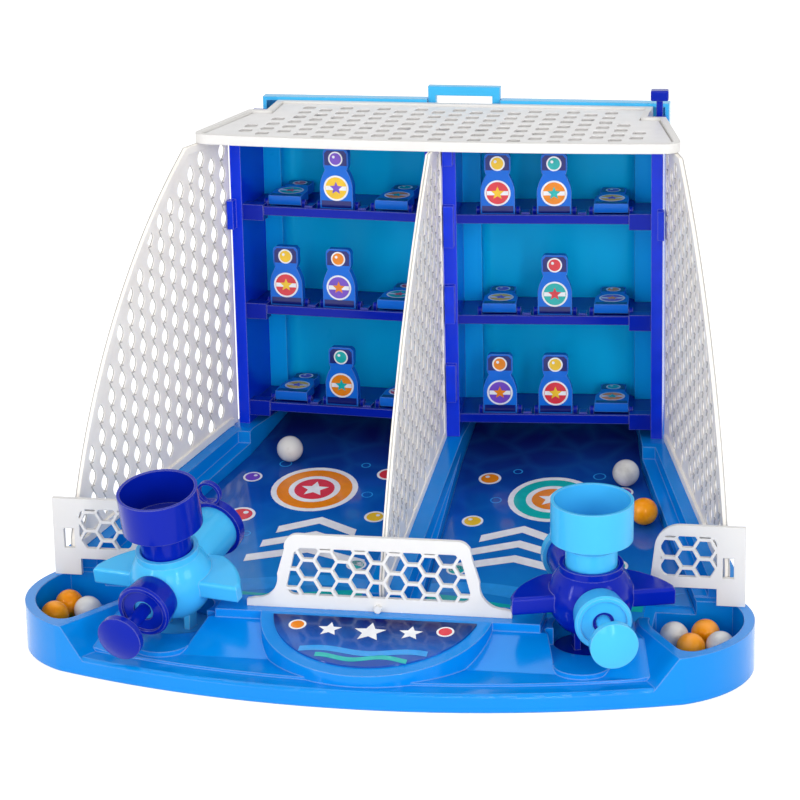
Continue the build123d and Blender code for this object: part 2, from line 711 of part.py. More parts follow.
def back_panel():
    """Back of the right column's bays, with rounded side returns."""
    x0 = BAY_INNER
    x1 = BAY_OUTER
    y0 = PANEL_Y - PANEL_RETURN
    y1 = PANEL_Y + PANEL_T
    outer = make_face(Polyline((x0, y0), (x1, y0), (x1, y1), (x0, y1), close=True))
    room = make_face(Polyline((x0 + PANEL_SIDE, y0 - PANEL_RETURN), (x1 - PANEL_SIDE, y0 - PANEL_RETURN),
                              (x1 - PANEL_SIDE, PANEL_Y), (x0 + PANEL_SIDE, PANEL_Y), close=True))
    corners = [v for v in room.vertices() if v.Y > y0]
    plan = outer - fillet(corners, PANEL_ROUND)
    low = CABINET_Z
    high = COLUMN_TOP_Z - LINTEL_H
    return column_frame(1) * extrude(Pos(0, 0, low) * plan, amount=high - low, dir=(0, 0, 1))


def target(standing):
    """Flip target about its hinge axis: bottle-shaped plate with two stub pins."""
    foot = TARGET_W / 2
    neck = TARGET_NECK_W / 2
    head = TARGET_HEAD_W / 2
    top = TARGET_H - TARGET_FOOT
    shoulder = TARGET_SHOULDER * TARGET_H
    neck_z = TARGET_NECK * TARGET_H
    crown = TARGET_CROWN
    cheek = neck_z + TARGET_CHEEK
    bow = foot - (foot - neck) * TARGET_BOW
    flare = (neck + (head - neck) * (1 - TARGET_BOW), neck_z + TARGET_CHEEK * TARGET_BOW)
    half = [
        Line((0, -TARGET_FOOT), (foot, -TARGET_FOOT)),
        Line((foot, -TARGET_FOOT), (foot, shoulder)),
        ThreePointArc((foot, shoulder), (bow, (shoulder + neck_z) / 2), (neck, neck_z)),
        ThreePointArc((neck, neck_z), flare, (head, cheek)),
        Line((head, cheek), (head, top - crown)),
        RadiusArc((head, top - crown), (head - crown, top), -crown),
        Line((head - crown, top), (0, top)),
    ]
    other = [mirror(edge, about=Plane.YZ) for edge in half]
    face = Rot(90, 0, 0) * make_face(half + other)
    plate = Pos(0, TARGET_BACK - TARGET_T, 0) * extrude(face, amount=TARGET_T, dir=(0, 1, 0))
    plate += rod(PIN_R, (-foot - PIN_OUT, 0, 0), (1, 0, 0), TARGET_W + 2 * PIN_OUT)
    return plate if standing else Rot(-TARGET_FALL, 0, 0) * plate


def placed_target(side, level, place, standing):
    """A target on its shelf."""
    spot = Pos(side * target_x(place), HINGE_Y, shelf_floor(level) + HINGE_H)
    return column_frame(side) * spot * target(standing)


def net_slots(inside, length, height):
    """Staggered upright slots of a net, wherever the whole slot lies inside the panel's rim."""
    tall = NET_SLOT_H / 2
    wide = NET_SLOT_W / 2
    slots = []
    column = 0
    u = NET_RIM + wide
    while u < length:
        v = NET_ROW / 2 * (column % 2)
        while v < height:
            tips = [(u, v - tall), (u + wide, v), (u, v + tall), (u - wide, v)]
            if all(inside(*tip) for tip in tips):
                slots.append(Wire.make_polygon([(x, y, 0) for x, y in tips], close=True))
            v += NET_ROW
        u += NET_COLUMN
        column += 1
    return slots


def upright_net(length, top, low_z, bends, bulge):
    """Upright net in its own plane: u forward from the rear edge, v up; the foot bends where given."""
    top_z = NET_TOP_Z
    end = (length, low_z(length) + NET_FOOT_H)
    start = (top, top_z)
    chord = hypot(end[0] - start[0], end[1] - start[1])
    normal = ((start[1] - end[1]) / chord, (end[0] - start[0]) / chord)
    middle = ((start[0] + end[0]) / 2, (start[1] + end[1]) / 2)
    crest = (middle[0] + bulge * normal[0], middle[1] + bulge * normal[1])
    radius = (chord * chord / 4 + bulge * bulge) / (2 * bulge)
    centre = (crest[0] - radius * normal[0], crest[1] - radius * normal[1])

    def inside(u, v):
        in_front = u < top or hypot(u - centre[0], v - centre[1]) < radius - NET_RIM
        return in_front and low_z(u) + NET_RIM < v < top_z - NET_RIM and NET_RIM < u < length - NET_RIM

    foot = [(u, low_z(u)) for u in (0.0, *bends, length)]
    corners = [start, (0, top_z)] + foot + [end]
    edges = [Line(a, b) for a, b in zip(corners, corners[1:])]
    border = Wire(edges + [ThreePointArc(end, crest, start)])
    return Face(border, net_slots(inside, length, top_z))


def side_net():
    """Right side net on the rail, flaring outwards from the cabinet."""
    turn = radians(SIDE_NET_FLARE)

    def low(u):
        return rail_z(SIDE_NET_Y - u * cos(turn))

    bend = (SIDE_NET_Y - RAIL_START_Y) / cos(turn)
    face = upright_net(SIDE_NET_LENGTH, SIDE_NET_TOP, low, [bend], SIDE_NET_BULGE)
    forward = (sin(turn), -cos(turn), 0)
    plane = Plane(origin=(SIDE_NET_X, SIDE_NET_Y, 0), x_dir=forward, z_dir=(-cos(turn), -sin(turn), 0))
    return plane.location * extrude(face, amount=NET_T, dir=(0, 0, 1))


def divider_net():
    """Net on the centre plane, from the pillar towards the players."""
    start = PILLAR_Y - MOVE_GAP

    def low(u):
        return rail_z(start - u)

    face = upright_net(DIVIDER_LENGTH, DIVIDER_TOP, low, [], DIVIDER_BULGE)
    plane = Plane(origin=(NET_T / 2, start, 0), x_dir=(0, -1, 0), z_dir=(-1, 0, 0))
    return plane.location * extrude(face, amount=NET_T, dir=(0, 0, 1))


def roof_outline():
    """Plan of the roof: bowed front edge, slanted sides and notches for the reset levers."""
    half = [
        (ROOF_REAR_HALF, ROOF_REAR_Y), (ROOF_REAR_HALF, ROOF_NOTCH_Y),
        (ROOF_NOTCH_HALF, ROOF_NOTCH_Y), (ROOF_FRONT_HALF, ROOF_FRONT_Y),
    ]
    edges = [Line(a, b) for a, b in zip(half, half[1:])]
    edges += [mirror(edge, about=Plane.YZ) for edge in edges]
    edges.append(Line((-ROOF_REAR_HALF, ROOF_REAR_Y), (ROOF_REAR_HALF, ROOF_REAR_Y)))
    front = (ROOF_FRONT_HALF, ROOF_FRONT_Y)
    edges.append(ThreePointArc(front, (0, ROOF_FRONT_Y - ROOF_BOW), (-ROOF_FRONT_HALF, ROOF_FRONT_Y)))
    face = make_face(edges)
    corners = [v for v in face.vertices() if abs(v.Y - ROOF_FRONT_Y) < 0.1]
    return fillet(corners, ROOF_ROUND)


def roof_reach(y):
    """How far from the centre plane a roof slot's middle may lie at a depth."""
    if y > ROOF_NOTCH_Y - ROOF_ROW:
        half = ROOF_REAR_HALF
    else:
        share = (ROOF_NOTCH_Y - y) / (ROOF_NOTCH_Y - ROOF_FRONT_Y)
        half = ROOF_NOTCH_HALF + (ROOF_FRONT_HALF - ROOF_NOTCH_HALF) * share
    return half - ROOF_RIM_W - ROOF_SLOT_L


def roof_slots():
    """Staggered slots of the roof."""
    long = ROOF_SLOT_L / 2
    wide = ROOF_SLOT_W / 2
    slots = []
    rows = int((ROOF_REAR_Y - ROOF_FRONT_Y - 2 * ROOF_RIM_W) / ROOF_ROW)
    for row in range(1, rows):
        y = ROOF_FRONT_Y + ROOF_RIM_W + row * ROOF_ROW
        shift = ROOF_COLUMN / 2 * (row % 2)
        count = int(2 * ROOF_FRONT_HALF / ROOF_COLUMN)
        for column in range(-count, count):
            x = column * ROOF_COLUMN + shift
            if abs(x) < roof_reach(y):
                points = [(x - long, y, 0), (x, y - wide, 0), (x + long, y, 0), (x, y + wide, 0)]
                slots.append(Wire.make_polygon(points, close=True))
    return slots


def roof_net():
    """Slotted roof plate with a raised rim."""
    outline = roof_outline()
    face = Face(outline.face().outer_wire(), roof_slots())
    plate = extrude(Pos(0, 0, ROOF_Z) * face, amount=ROOF_T, dir=(0, 0, 1))
    ring = outline - offset(outline, -ROOF_RIM_W)
    return plate + extrude(Pos(0, 0, ROOF_Z + ROOF_T) * ring, amount=ROOF_RIM_H - ROOF_T, dir=(0, 0, 1))


def honeycomb(window):
    """A window's area cut into honeycomb openings; one column of cells stands on x = 0."""
    pitch = HEX_FLAT + HEX_STRUT
    column = pitch * sqrt(3) / 2
    box = window.bounding_box()
    cell = RegularPolygon(HEX_FLAT / 2, 6, major_radius=False)
    cells = []
    for i in range(int(box.min.X / column) - 1, int(box.max.X / column) + 2):
        shift = pitch / 2 * (i % 2)
        for j in range(int(box.min.Y / pitch) - 1, int(box.max.Y / pitch) + 2):
            cells.append(Pos(i * column, j * pitch + shift) * cell)
    return window & Sketch(children=cells)


def upright_plate(face, y, z):
    """Plate in the XZ plane from a flat sketch, thickness towards the back."""
    plane = Plane(origin=(0, y, z), x_dir=(1, 0, 0), z_dir=(0, -1, 0))
    return plane.location * extrude(face, amount=-FENCE_T)


def fence_centre():
    """Honeycomb fence on the apron ridge, with swept feet and a locating peg."""
    half = CENTRE_FENCE_HALF
    height = CENTRE_FENCE_H
    foot = CENTRE_FENCE_FOOT
    top = CENTRE_FENCE_TOP_HALF
    sweep = FENCE_SWEEP
    waist = top + sweep
    bend = (waist, foot + FENCE_RISE)
    right = [
        Line((half, 0), (half, foot - FOOT_FALL)),
        Line((half, foot - FOOT_FALL), (half - sweep / 2, foot)),
        ThreePointArc((half - sweep / 2, foot), (waist + sweep / 3, foot + sweep / 2), bend),
        Line(bend, (top + sweep / 2, height - sweep)),
        ThreePointArc((top + sweep / 2, height - sweep), (top + sweep / 4, height - sweep / 4),
                      (top - sweep / 3, height)),
    ]
    left = [mirror(edge, about=Plane.YZ) for edge in right]
    shoulder = top - sweep / 3
    ends = [Line((-half, 0), (half, 0)), Line((shoulder, height), (-shoulder, height))]
    outline = make_face(right + left + ends)
    low = waist - FENCE_BAND / 2
    high = top - FENCE_BAND / 4
    window = make_face(Polyline((-low, FENCE_BAND), (low, FENCE_BAND), (high, height - FENCE_BAND),
                                (-high, height - FENCE_BAND), close=True))
    window = fillet(window.vertices(), WINDOW_ROUND)
    plate = upright_plate(outline - honeycomb(window), CENTRE_FENCE_Y, APRON_REAR_Z)
    peg_z = APRON_REAR_Z + FENCE_PEG_R
    return plate + rod(FENCE_PEG_R, (0, CENTRE_FENCE_Y, peg_z), (0, -1, 0), FENCE_PEG_L)


def fence_side():
    """Small honeycomb fence over the mouth of the right corner tray."""
    x0 = SIDE_FENCE_INNER
    x1 = SIDE_FENCE_OUTER
    height = SIDE_FENCE_H
    foot = SIDE_FENCE_Z - TRAY_RIM_Z
    leg = x1 - FENCE_FOOT_W
    small = FENCE_SWEEP / 2
    plate = make_face(Polyline((x0, 0), (x1, 0), (x1, height), (x0 + small, height), close=True))
    tall = sorted(plate.vertices(), key=lambda v: v.Y)[2:]
    tall = sorted(tall, key=lambda v: v.X)
    plate = fillet(tall[:1], FENCE_CORNER)
    plate += make_face(Polyline((leg, -foot), (x1, -foot), (x1, small), (leg, small), close=True))
    band = SIDE_FENCE_BAND
    high = height - band
    cells = make_face(Polyline((x0 + band, band), (leg, band), (leg, high), (x0 + band, high), close=True))
    cells = fillet(cells.vertices(), WINDOW_ROUND)
    slot = make_face(Polyline((leg + band / 2, band), (x1 - band, band), (x1 - band, height / 2),
                              (leg + band / 2, height / 2), close=True))
    return upright_plate(plate - honeycomb(cells) - slot, SIDE_FENCE_Y, SIDE_FENCE_Z)


def launcher_frame(name):
    """Frame of a launcher's head at its rest aim: swivel about the well, tilt about the pin."""
    yaw, pitch = AIM[name]
    pin = Pos(SIDES[name] * LAUNCHER_X, LAUNCHER_Y, HUB_Z - TILT_PIN_DROP)
    return pin * Rot(0, 0, yaw) * Rot(pitch, 0, 0) * Pos(0, 0, TILT_PIN_DROP)


def turntable(name):
    """Swivel plate in the pedestal's well with a fork for the tilt pin."""
    yaw = AIM[name][0]
    low = WELL_Z + MOVE_GAP
    plate = rod(WELL_R - MOVE_GAP, (0, 0, low), (0, 0, 1), TURNTABLE_T)
    pin_z = HUB_Z - TILT_PIN_DROP
    inner = LUG_W / 2 + MOVE_GAP
    for turn in (-1, 1):
        a = turn * inner
        b = turn * (inner + FORK_W)
        x0, x1 = min(a, b), max(a, b)
        arm = block(x0, x1, -FORK_R, FORK_R, low, pin_z) + rod(FORK_R, (x0, 0, pin_z), (1, 0, 0), FORK_W)
        plate += arm
    plate += rod(TILT_PIN_R, (-inner - FORK_W, 0, pin_z), (1, 0, 0), 2 * (inner + FORK_W))
    return Pos(SIDES[name] * LAUNCHER_X, LAUNCHER_Y, 0) * Rot(0, 0, yaw) * plate


def wing_plan():
    """Plan of the two finger wings: straight front edge, swept round back edge."""
    tip = (WING_TIP, WING_FRONT + WING_T / 2)
    root = (WING_TIP / 2, WING_BACK)
    half = [
        Line((0, WING_FRONT), (WING_TIP, WING_FRONT)), Line((WING_TIP, WING_FRONT), tip),
        ThreePointArc(tip, WING_SWEEP, root), Line(root, (0, WING_BACK)),
    ]
    return make_face(half + [mirror(edge, about=Plane.YZ) for edge in half])


def hub():
    """Rounded hub, flat above and below, with a raised seat for the hopper and a lug for the tilt pin."""
    reach = 2 * HUB_R
    ball_part = Sphere(HUB_R) & block(-reach, reach, -reach, reach, -HUB_FLAT, HUB_FLAT)
    seat = rod(SEAT_R, (0, 0, 0), (0, 0, 1), HUB_FLAT + SEAT_H)
    seat -= rod(NECK_R + FIT_GAP, (0, 0, HUB_FLAT), (0, 0, 1), reach)
    seat = chamfer(seat.edges().filter_by(GeomType.CIRCLE).sort_by(Axis.Z)[-1:], SEAT_H / 3)
    drop = -TILT_PIN_DROP
    lug = block(-LUG_W / 2, LUG_W / 2, -LUG_R, LUG_R, drop, 0)
    lug += rod(LUG_R, (-LUG_W / 2, 0, drop), (1, 0, 0), LUG_W)
    return ball_part + seat + lug


def launcher_body():
    """Hub with finger wings and barrel, bored for the ball and for the piston."""
    wings = extrude(Pos(0, 0, WING_Z) * wing_plan(), amount=WING_T, dir=(0, 0, 1))
    wings = fillet(wings.edges().filter_by(Axis.Z, reverse=True), WING_ROUND)
    barrel = rod(BARREL_R, (0, 0, 0), (0, 1, 0), BARREL_LENGTH)
    tail = rod(TAIL_R, (0, 0, 0), (0, -1, 0), -COLLAR_FRONT - COLLAR_RECESS)
    body = hub() + wings + barrel + tail
    back = COLLAR_FRONT + COLLAR_RECESS + END_WALL
    body -= rod(BORE_R, (0, back, 0), (0, 1, 0), BARREL_LENGTH - back + CUT)
    body -= rod(BORE_R, (0, 0, 0), (0, 0, 1), 2 * HUB_R)
    body -= rod(ROD_R + ROD_GAP, (0, back + CUT, 0), (0, -1, 0), END_WALL + 2 * CUT)
    return body - rod(TILT_PIN_R + PIN_GAP, (-LUG_W, 0, -TILT_PIN_DROP), (1, 0, 0), 2 * LUG_W)


def hopper():
    """Ball hopper: straight cup, short cone and neck, one wall thickness."""
    rim = HOPPER_RIM_Z
    cone = rim - HOPPER_CUP_H
    neck = cone - HOPPER_CONE_H
    wall = HOPPER_WALL
    throat = BORE_R + wall / 4
    profile = Polyline(
        (throat, HUB_FLAT), (NECK_R, HUB_FLAT), (NECK_R, neck), (HOPPER_R, cone), (HOPPER_R, rim),
        (HOPPER_R - wall, rim), (HOPPER_R - wall, cone + wall), (throat, neck + wall / 2), close=True)
    face = Rot(90, 0, 0) * make_face(profile)
    return revolve(face, axis=Axis.Z)


def collar():
    """Tapered collar on the launcher's tail, closed at the rear by a recessed flange."""
    tail = TAIL_R + FIT_GAP
    seat = COLLAR_FRONT + COLLAR_RECESS
    profile = Polyline(
        (tail, COLLAR_BACK), (tail, seat), (COLLAR_HOLE_R, seat), (COLLAR_HOLE_R, seat - COLLAR_RECESS / 2),
        (tail, seat - COLLAR_RECESS / 2), (tail, COLLAR_FRONT), (COLLAR_R - COLLAR_EDGE, COLLAR_FRONT),
        (COLLAR_R, COLLAR_FRONT + COLLAR_RECESS / 2), (COLLAR_REAR_R, COLLAR_BACK), close=True)
    return revolve(make_face(profile), axis=Axis.Y)


def plunger():
    """Domed knob, rod and piston in one piece."""
    back = KNOB_FRONT + KNOB_T
    dome = (KNOB_R * KNOB_R + KNOB_DOME * KNOB_DOME) / (2 * KNOB_DOME)
    knob = rod(KNOB_R, (0, KNOB_FRONT, 0), (0, 1, 0), KNOB_T) & Pos(0, KNOB_FRONT + dome, 0) * Sphere(dome)
    neck = Solid.make_cone(KNOB_NECK_R, ROD_R, KNOB_NECK, Plane(origin=(0, back, 0), z_dir=(0, 1, 0)))
    shaft = rod(ROD_R, (0, back - KNOB_DOME, 0), (0, 1, 0), PISTON_FRONT - back)
    piston = rod(PISTON_R, (0, PISTON_FRONT, 0), (0, -1, 0), PISTON_L)
    return knob + neck + shaft + piston


def plunger_spring():
    """Compression spring between the piston and the barrel's end wall."""
    end = COLLAR_FRONT + COLLAR_RECESS + END_WALL + MOVE_GAP
    start = PISTON_FRONT - PISTON_L - MOVE_GAP
    sleeve = rod(SPRING_R, (0, start, 0), (0, -1, 0), start - end)
    return sleeve - rod(SPRING_R - SPRING_WIRE, (0, start + CUT, 0), (0, -1, 0), start - end + 2 * CUT)


def muzzle_ring():
    """Ring over the barrel's mouth with a sight loop on top."""
    end = BARREL_LENGTH + MUZZLE_LIP
    start = end - MUZZLE_T
    ring = rod(MUZZLE_R, (0, start, 0), (0, 1, 0), MUZZLE_T)
    loop_z = MUZZLE_R + SIGHT_R - SIGHT_WIRE
    loop = rod(SIGHT_R, (0, start + MUZZLE_LIP, loop_z), (0, 1, 0), 2 * SIGHT_WIRE)
    loop -= rod(SIGHT_R - SIGHT_WIRE, (0, start, loop_z), (0, 1, 0), MUZZLE_T)
    ring += loop
    ring -= rod(BARREL_R + FIT_GAP, (0, 0, 0), (0, 1, 0), BARREL_LENGTH)
    return ring - rod(MUZZLE_MOUTH_R, (0, 0, 0), (0, 1, 0), end + CUT)


def reset_lever(name):
    """Reset lever in its channel: flat bar with a T-knob."""
    drop = 0.0 if LEVER_RAISED[name] else LEVER_TRAVEL
    bar = block(-LEVER_W / 2, LEVER_W / 2, -LEVER_D / 2, LEVER_D / 2, LEVER_FOOT_Z, LEVER_KNOB_Z)
    knob = block(-LEVER_KNOB_W / 2, LEVER_KNOB_W / 2, -LEVER_KNOB_D / 2, LEVER_KNOB_D / 2,
                 LEVER_KNOB_Z - LEVER_KNOB_H, LEVER_KNOB_Z)
    knob = fillet(knob.edges(), EDGE_ROUND / 2)
    side = SIDES[name]
    return column_frame(side) * Pos(side * LEVER_X, LEVER_Y, -drop) * (bar + knob)


def rear_cover():
    """Shallow rear shell behind the cabinet, with screw bosses and a recess for the handle."""
    half = COVER_HALF
    wall = COVER_WALL
    rear = COVER_REAR_Y
    low = COVER_BOTTOM_Z
    shell = block(-half, half, REAR_Y, rear, low, COVER_TOP_Z)
    shell -= block(wall - half, half - wall, REAR_Y - CUT, rear - wall, low + wall, COVER_TOP_Z - wall)
    cheek = RECESS_HALF + CHEEK
    shell += block(-cheek, cheek, REAR_Y, rear, RECESS_Z - wall, COVER_TOP_Z)
    shell -= block(-RECESS_HALF, RECESS_HALF, REAR_Y - CUT, rear + CUT, RECESS_Z, COVER_TOP_Z + CUT)
    bore = HANDLE_HALF + HANDLE_PIN_L + MOVE_GAP
    shell -= rod(HANDLE_PIN_R + PIN_GAP, (-bore, HANDLE_PIVOT_Y, HANDLE_PIVOT_Z), (1, 0, 0), 2 * bore)
    for x, z in screw_spots():
        for spot in (x, -x):
            shell += rod(BOSS_R, (spot, REAR_Y, z), (0, 1, 0), rear - REAR_Y)
            head = REAR_Y + BOSS_FLOOR
            shell -= rod(SCREW_HEAD_R + MOVE_GAP, (spot, head, z), (0, 1, 0), rear)
            shell -= rod(SCREW_SHANK_R + SCREW_HOLE_GAP, (spot, REAR_Y - CUT, z), (0, 1, 0), rear)
    return shell


def case_screws():
    """Six pan-head screws that hold the rear cover."""
    screws = []
    head = REAR_Y + BOSS_FLOOR
    for x, z in screw_spots():
        for spot in (x, -x):
            screw = rod(SCREW_HEAD_R, (spot, head, z), (0, 1, 0), SCREW_HEAD_H)
            screw += rod(SCREW_SHANK_R, (spot, head, z), (0, -1, 0), SCREW_SHANK_L)
            screws.append(screw)
    return Compound(children=screws)


def carry_handle():
    """Folding carry handle: bar and two legs on stub pins."""
    half = HANDLE_HALF
    y0 = HANDLE_PIVOT_Y - HANDLE_LEG / 2
    y1 = HANDLE_PIVOT_Y + HANDLE_LEG / 2
    handle = block(-half, half, y0, y1, HANDLE_TOP_Z - HANDLE_BAR, HANDLE_TOP_Z)
    for x in (-half, half - HANDLE_LEG):
        handle += block(x, x + HANDLE_LEG, y0, y1, HANDLE_PIVOT_Z, HANDLE_TOP_Z)
        handle += rod(HANDLE_LEG / 2, (x, HANDLE_PIVOT_Y, HANDLE_PIVOT_Z), (1, 0, 0), HANDLE_LEG)
    for turn in (-1, 1):
        root = turn * (half - HANDLE_LEG / 2)
        pin = HANDLE_LEG / 2 + HANDLE_PIN_L
        handle += rod(HANDLE_PIN_R, (root, HANDLE_PIVOT_Y, HANDLE_PIVOT_Z), (turn, 0, 0), pin)
    return handle


def ball(x, y, z):
    """One game ball."""
    return Pos(x, y, z) * Sphere(BALL_R)


def lane_ball(x, y):
    """A ball on a lane's card."""
    slope = sqrt(1 + FLOOR_FALL * FLOOR_FALL)
    return ball(x, y, floor_z(y) + CARD_T + (BALL_R + MOVE_GAP) * slope)


def tray_balls(places):
    """Balls lying in the corner trays."""
    return Compound(children=[ball(x, y, TRAY_FLOOR_Z + BALL_R) for x, y in places])


def export(node, part):
    """Write one piece."""
    export_step(part, os.path.join("parts", node + ".step"))


def export_pair(node, part):
    """Write a piece and its mirror image."""
    export(node + "_right", part)
    export(node + "_left", mirrored(part))


os.makedirs("parts", exist_ok=True)
export("base_tray", base_tray())
export_pair("playfield_card", playfield_card())
export("front_label", front_label())
export_pair("cabinet_column", cabinet_column())
export_pair("shelves", shelves())
export_pair("back_panel", back_panel())
export_pair("side_net", side_net())
export("divider_net", divider_net())
export("roof_net", roof_net())
export("fence_centre", fence_centre())
export_pair("fence", fence_side())
for name, side in SIDES.items():
    for level in range(SHELF_COUNT):
        for place in range(TARGET_COUNT):
            piece = placed_target(side, level, place, STANDING[name][level][place])
            export(f"target_{name}_{level + 1}{place + 1}", piece)
    head = launcher_frame(name)
    export("turntable_" + name, turntable(name))
    export("launcher_body_" + name, head * launcher_body())
    export("hopper_" + name, head * hopper())
    export("collar_" + name, head * collar())
    export("plunger_" + name, head * plunger())
    export("plunger_spring_" + name, head * plunger_spring())
    export("muzzle_ring_" + name, head * muzzle_ring())
    export("reset_lever_" + name, reset_lever(name))
export("rear_cover", rear_cover())
export("carry_handle", carry_handle())
export("case_screws", case_screws())
for name, (x, y) in LANE_BALLS.items():
    export("ball_" + name, lane_ball(x, y))
for name, places in TRAY_BALLS.items():
    export("balls_" + name, tray_balls(places))
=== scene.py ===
import bpy
import json
from math import cos, hypot, pi, radians, sin
from mathutils import Matrix, Vector


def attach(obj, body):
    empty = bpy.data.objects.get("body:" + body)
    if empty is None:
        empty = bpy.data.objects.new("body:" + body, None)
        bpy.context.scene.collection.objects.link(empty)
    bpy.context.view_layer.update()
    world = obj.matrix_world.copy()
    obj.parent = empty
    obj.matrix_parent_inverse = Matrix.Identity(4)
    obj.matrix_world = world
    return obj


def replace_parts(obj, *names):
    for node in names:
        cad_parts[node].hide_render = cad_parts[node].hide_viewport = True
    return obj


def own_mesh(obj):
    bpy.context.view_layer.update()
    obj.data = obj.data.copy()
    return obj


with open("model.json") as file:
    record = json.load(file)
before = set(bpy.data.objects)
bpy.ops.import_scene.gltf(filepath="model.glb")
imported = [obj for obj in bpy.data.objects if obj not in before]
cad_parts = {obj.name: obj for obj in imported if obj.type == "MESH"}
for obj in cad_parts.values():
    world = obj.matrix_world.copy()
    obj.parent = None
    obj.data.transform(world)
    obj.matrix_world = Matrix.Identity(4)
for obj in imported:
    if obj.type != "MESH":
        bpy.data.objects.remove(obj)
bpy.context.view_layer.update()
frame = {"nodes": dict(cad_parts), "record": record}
NODES = frame["nodes"]
MM = 0.001
SIDES = {"left": -1, "right": 1}

# Colours as sRGB hex
BASE_BLUE = "008AE2"
DARK_BLUE = "0420A4"
CABINET_BLUE = "0434DC"
CYAN = "46BCF2"
PANEL_BLUE = "00BCEE"
PANEL_EDGE = "06B2FA"
NET_WHITE = "E6E4E1"
CORD_WHITE = "FDF7EE"
ROOF_WHITE = "EEEDED"
# Painted shade: greys for the walls of the roof slots and the net openings
ROOF_SHADE_GREY = "CDCBCA"
CORD_SHADE_GREY = "BAB7B4"
NAVY = "141F74"
SEA_BLUE, SEA_PALE = "0A55B2", "1C8BD8"
LABEL_DEEP, LABEL_PALE = "0C1258", "123C9A"
TARGET_BLUE = "146EDA"
ORANGE = "F28A0C"
BALL_ORANGE, BALL_AMBER = "FFA00C", "F08600"
PEARL, PEARL_GREY = "D8D6D1", "BDBBB8"
STEEL = "B9BCC0"
WHITE = "F2F3F5"
CORAL = "E23A46"
YELLOW = "F8C92C"
TEAL = "18B7B2"
VIOLET = "7A4FC8"
SKY = "2E9BE8"

EDGE_ROUND = 0.0007     # moulded edges, metres

# Sizes shared with the solids, millimetres
FLOOR_Z, FLOOR_REF_Y, FLOOR_FALL, CARD_T = 50.0, 96.0, 0.19, 1.0
LANE_REAR_Y, LANE_REAR_INNER, LANE_REAR_OUTER = 93.0, 12.5, 122.5
LANE_TAPER, LANE_SPLAY, LANE_GATE_Y, LANE_GATE_OUTER = 7.0 / 191.0, 0.31, -58.0, 143.5
APRON_BACK_Y, APRON_TIP_Y, APRON_REAR_Z, APRON_FRONT_Z = -122.0, -182.0, 29.0, 17.0
CABINET_Z, RAIL_START_Y, RAIL_FALL = 66.0, 98.0, 0.165
PILLAR_Y, COLUMN_YAW, BAY_MIDDLE = 96.0, 4.9, 68.75
RETURN_DEPTH, PANEL_DEPTH = 46.5, 54.5     # from the pillar to the panel's side returns and to its face
NET_T, NET_TOP_Z, NET_FOOT_H = 3.0, 253.7, 10.0
SIDE_NET_TURN, SIDE_NET_X, SIDE_NET_Y = 17.4, 139.0, 103.0
SIDE_NET_LENGTH, SIDE_NET_TOP, SIDE_NET_BULGE = 181.0, 43.0, 22.0
DIVIDER_LENGTH, DIVIDER_TOP, DIVIDER_BULGE, DIVIDER_GAP = 201.0, 38.0, 15.0, 0.3
ROOF_Z, ROOF_T, ROOF_FRONT_HALF, ROOF_FRONT_Y, ROOF_BOW = 254.0, 3.0, 150.0, 72.0, 8.0
ROOF_REAR_HALF, ROOF_REAR_Y, ROOF_RIM_W = 120.0, 179.7, 4.0
ROOF_STEP_HALF, ROOF_STEP_Y = 131.0, 149.0
TARGET_PITCH, TARGET_FRONT, TARGET_FALL, HINGE_Y = 34.5, -4.5, 88.0, 12.0
HINGE_HEIGHTS = (81.3, 144.8, 208.3)
LAUNCHER_X, LAUNCHER_Y, TILT_PIN_Z, TILT_PIN_DROP = 119.0, -108.0, 21.5, 22.0
LAUNCHER_AIM = {"left": (-13.0, 13.0), "right": (19.0, 5.0)}    # swivel and tilt at rest, degrees
SPRING_R, SPRING_END, SPRING_FREE, PULL = 7.6, -30.7, 21.4, 18.0
STANDING = {
    "left": [(False, True, False), (False, True, True), (False, True, False)],
    "right": [(True, True, False), (False, True, False), (True, True, False)],
}

# Sizes of the scene's own pieces, millimetres
NET_EDGE, NET_RIM, RIM_BAND, NET_FLANGE, CORD_T, CORD_ROUND = 0.5, 5.0, 4.0, 7.0, 1.4, 0.6
NET_ROW, NET_COLUMN, NET_HOLE_H, NET_HOLE_W = 14.3, 12.0, 12.8, 8.2
WALL_STEEPNESS = 0.6    # faces whose normal leans less towards Z count as walls and take the painted shade
FLANGE_COLUMN = 0.6     # first column of openings where the net has a flange
CENTRE_MARGIN, TIP_MARGIN = 6.5, 1.6    # of an opening's centre and tips to the net's edge
KNOT_T, KNOT_SINK, KNOT_LEAN, KNOT_HALF, KNOT_TALL, KNOT_TAPER = 0.8, 0.2, 1.1, 1.9, 2.0, 0.8
ARC_STEPS = 32
SLOT_ROUND, SLOT_HALF, SLOT_MARGIN = 0.4, 4.4, 13.0
SLOT_TAPER, SLOT_SIDE_MARGIN, SLOT_STEP_MARGIN = 0.25, 15.0, 11.0
SLOT_CORNERS = [(-1.0, -0.5), (-0.72, -1.05), (0.72, -1.05), (1.0, -0.5),
                (1.0, 0.5), (0.72, 1.05), (-0.72, 1.05), (-1.0, 0.5)]
MAT_GAP, MAT_LIFT = 0.8, 0.05
PRINT_LIFT, LAYER_LIFT, DISC_STEPS, LANE_STEPS, LABEL_STEPS = 0.1, 0.05, 36, 40, 30
WIRE_R, WIRE_SIDES, SPRING_TURNS, TURN_STEPS = 0.7, 8, 6, 24

# Camera fitted to the photograph, degrees and metres, and the floor
CAMERA_ANGLES = (11.509, 16.934, -1.277)    # to the right, up, roll
CAMERA_TARGET, CAMERA_DISTANCE, CAMERA_LENS = (-0.00756, -0.004, 0.1197), 1.8113, 138.6
FLOOR_HALF, FLOOR_DROP = 8.0, 0.0004

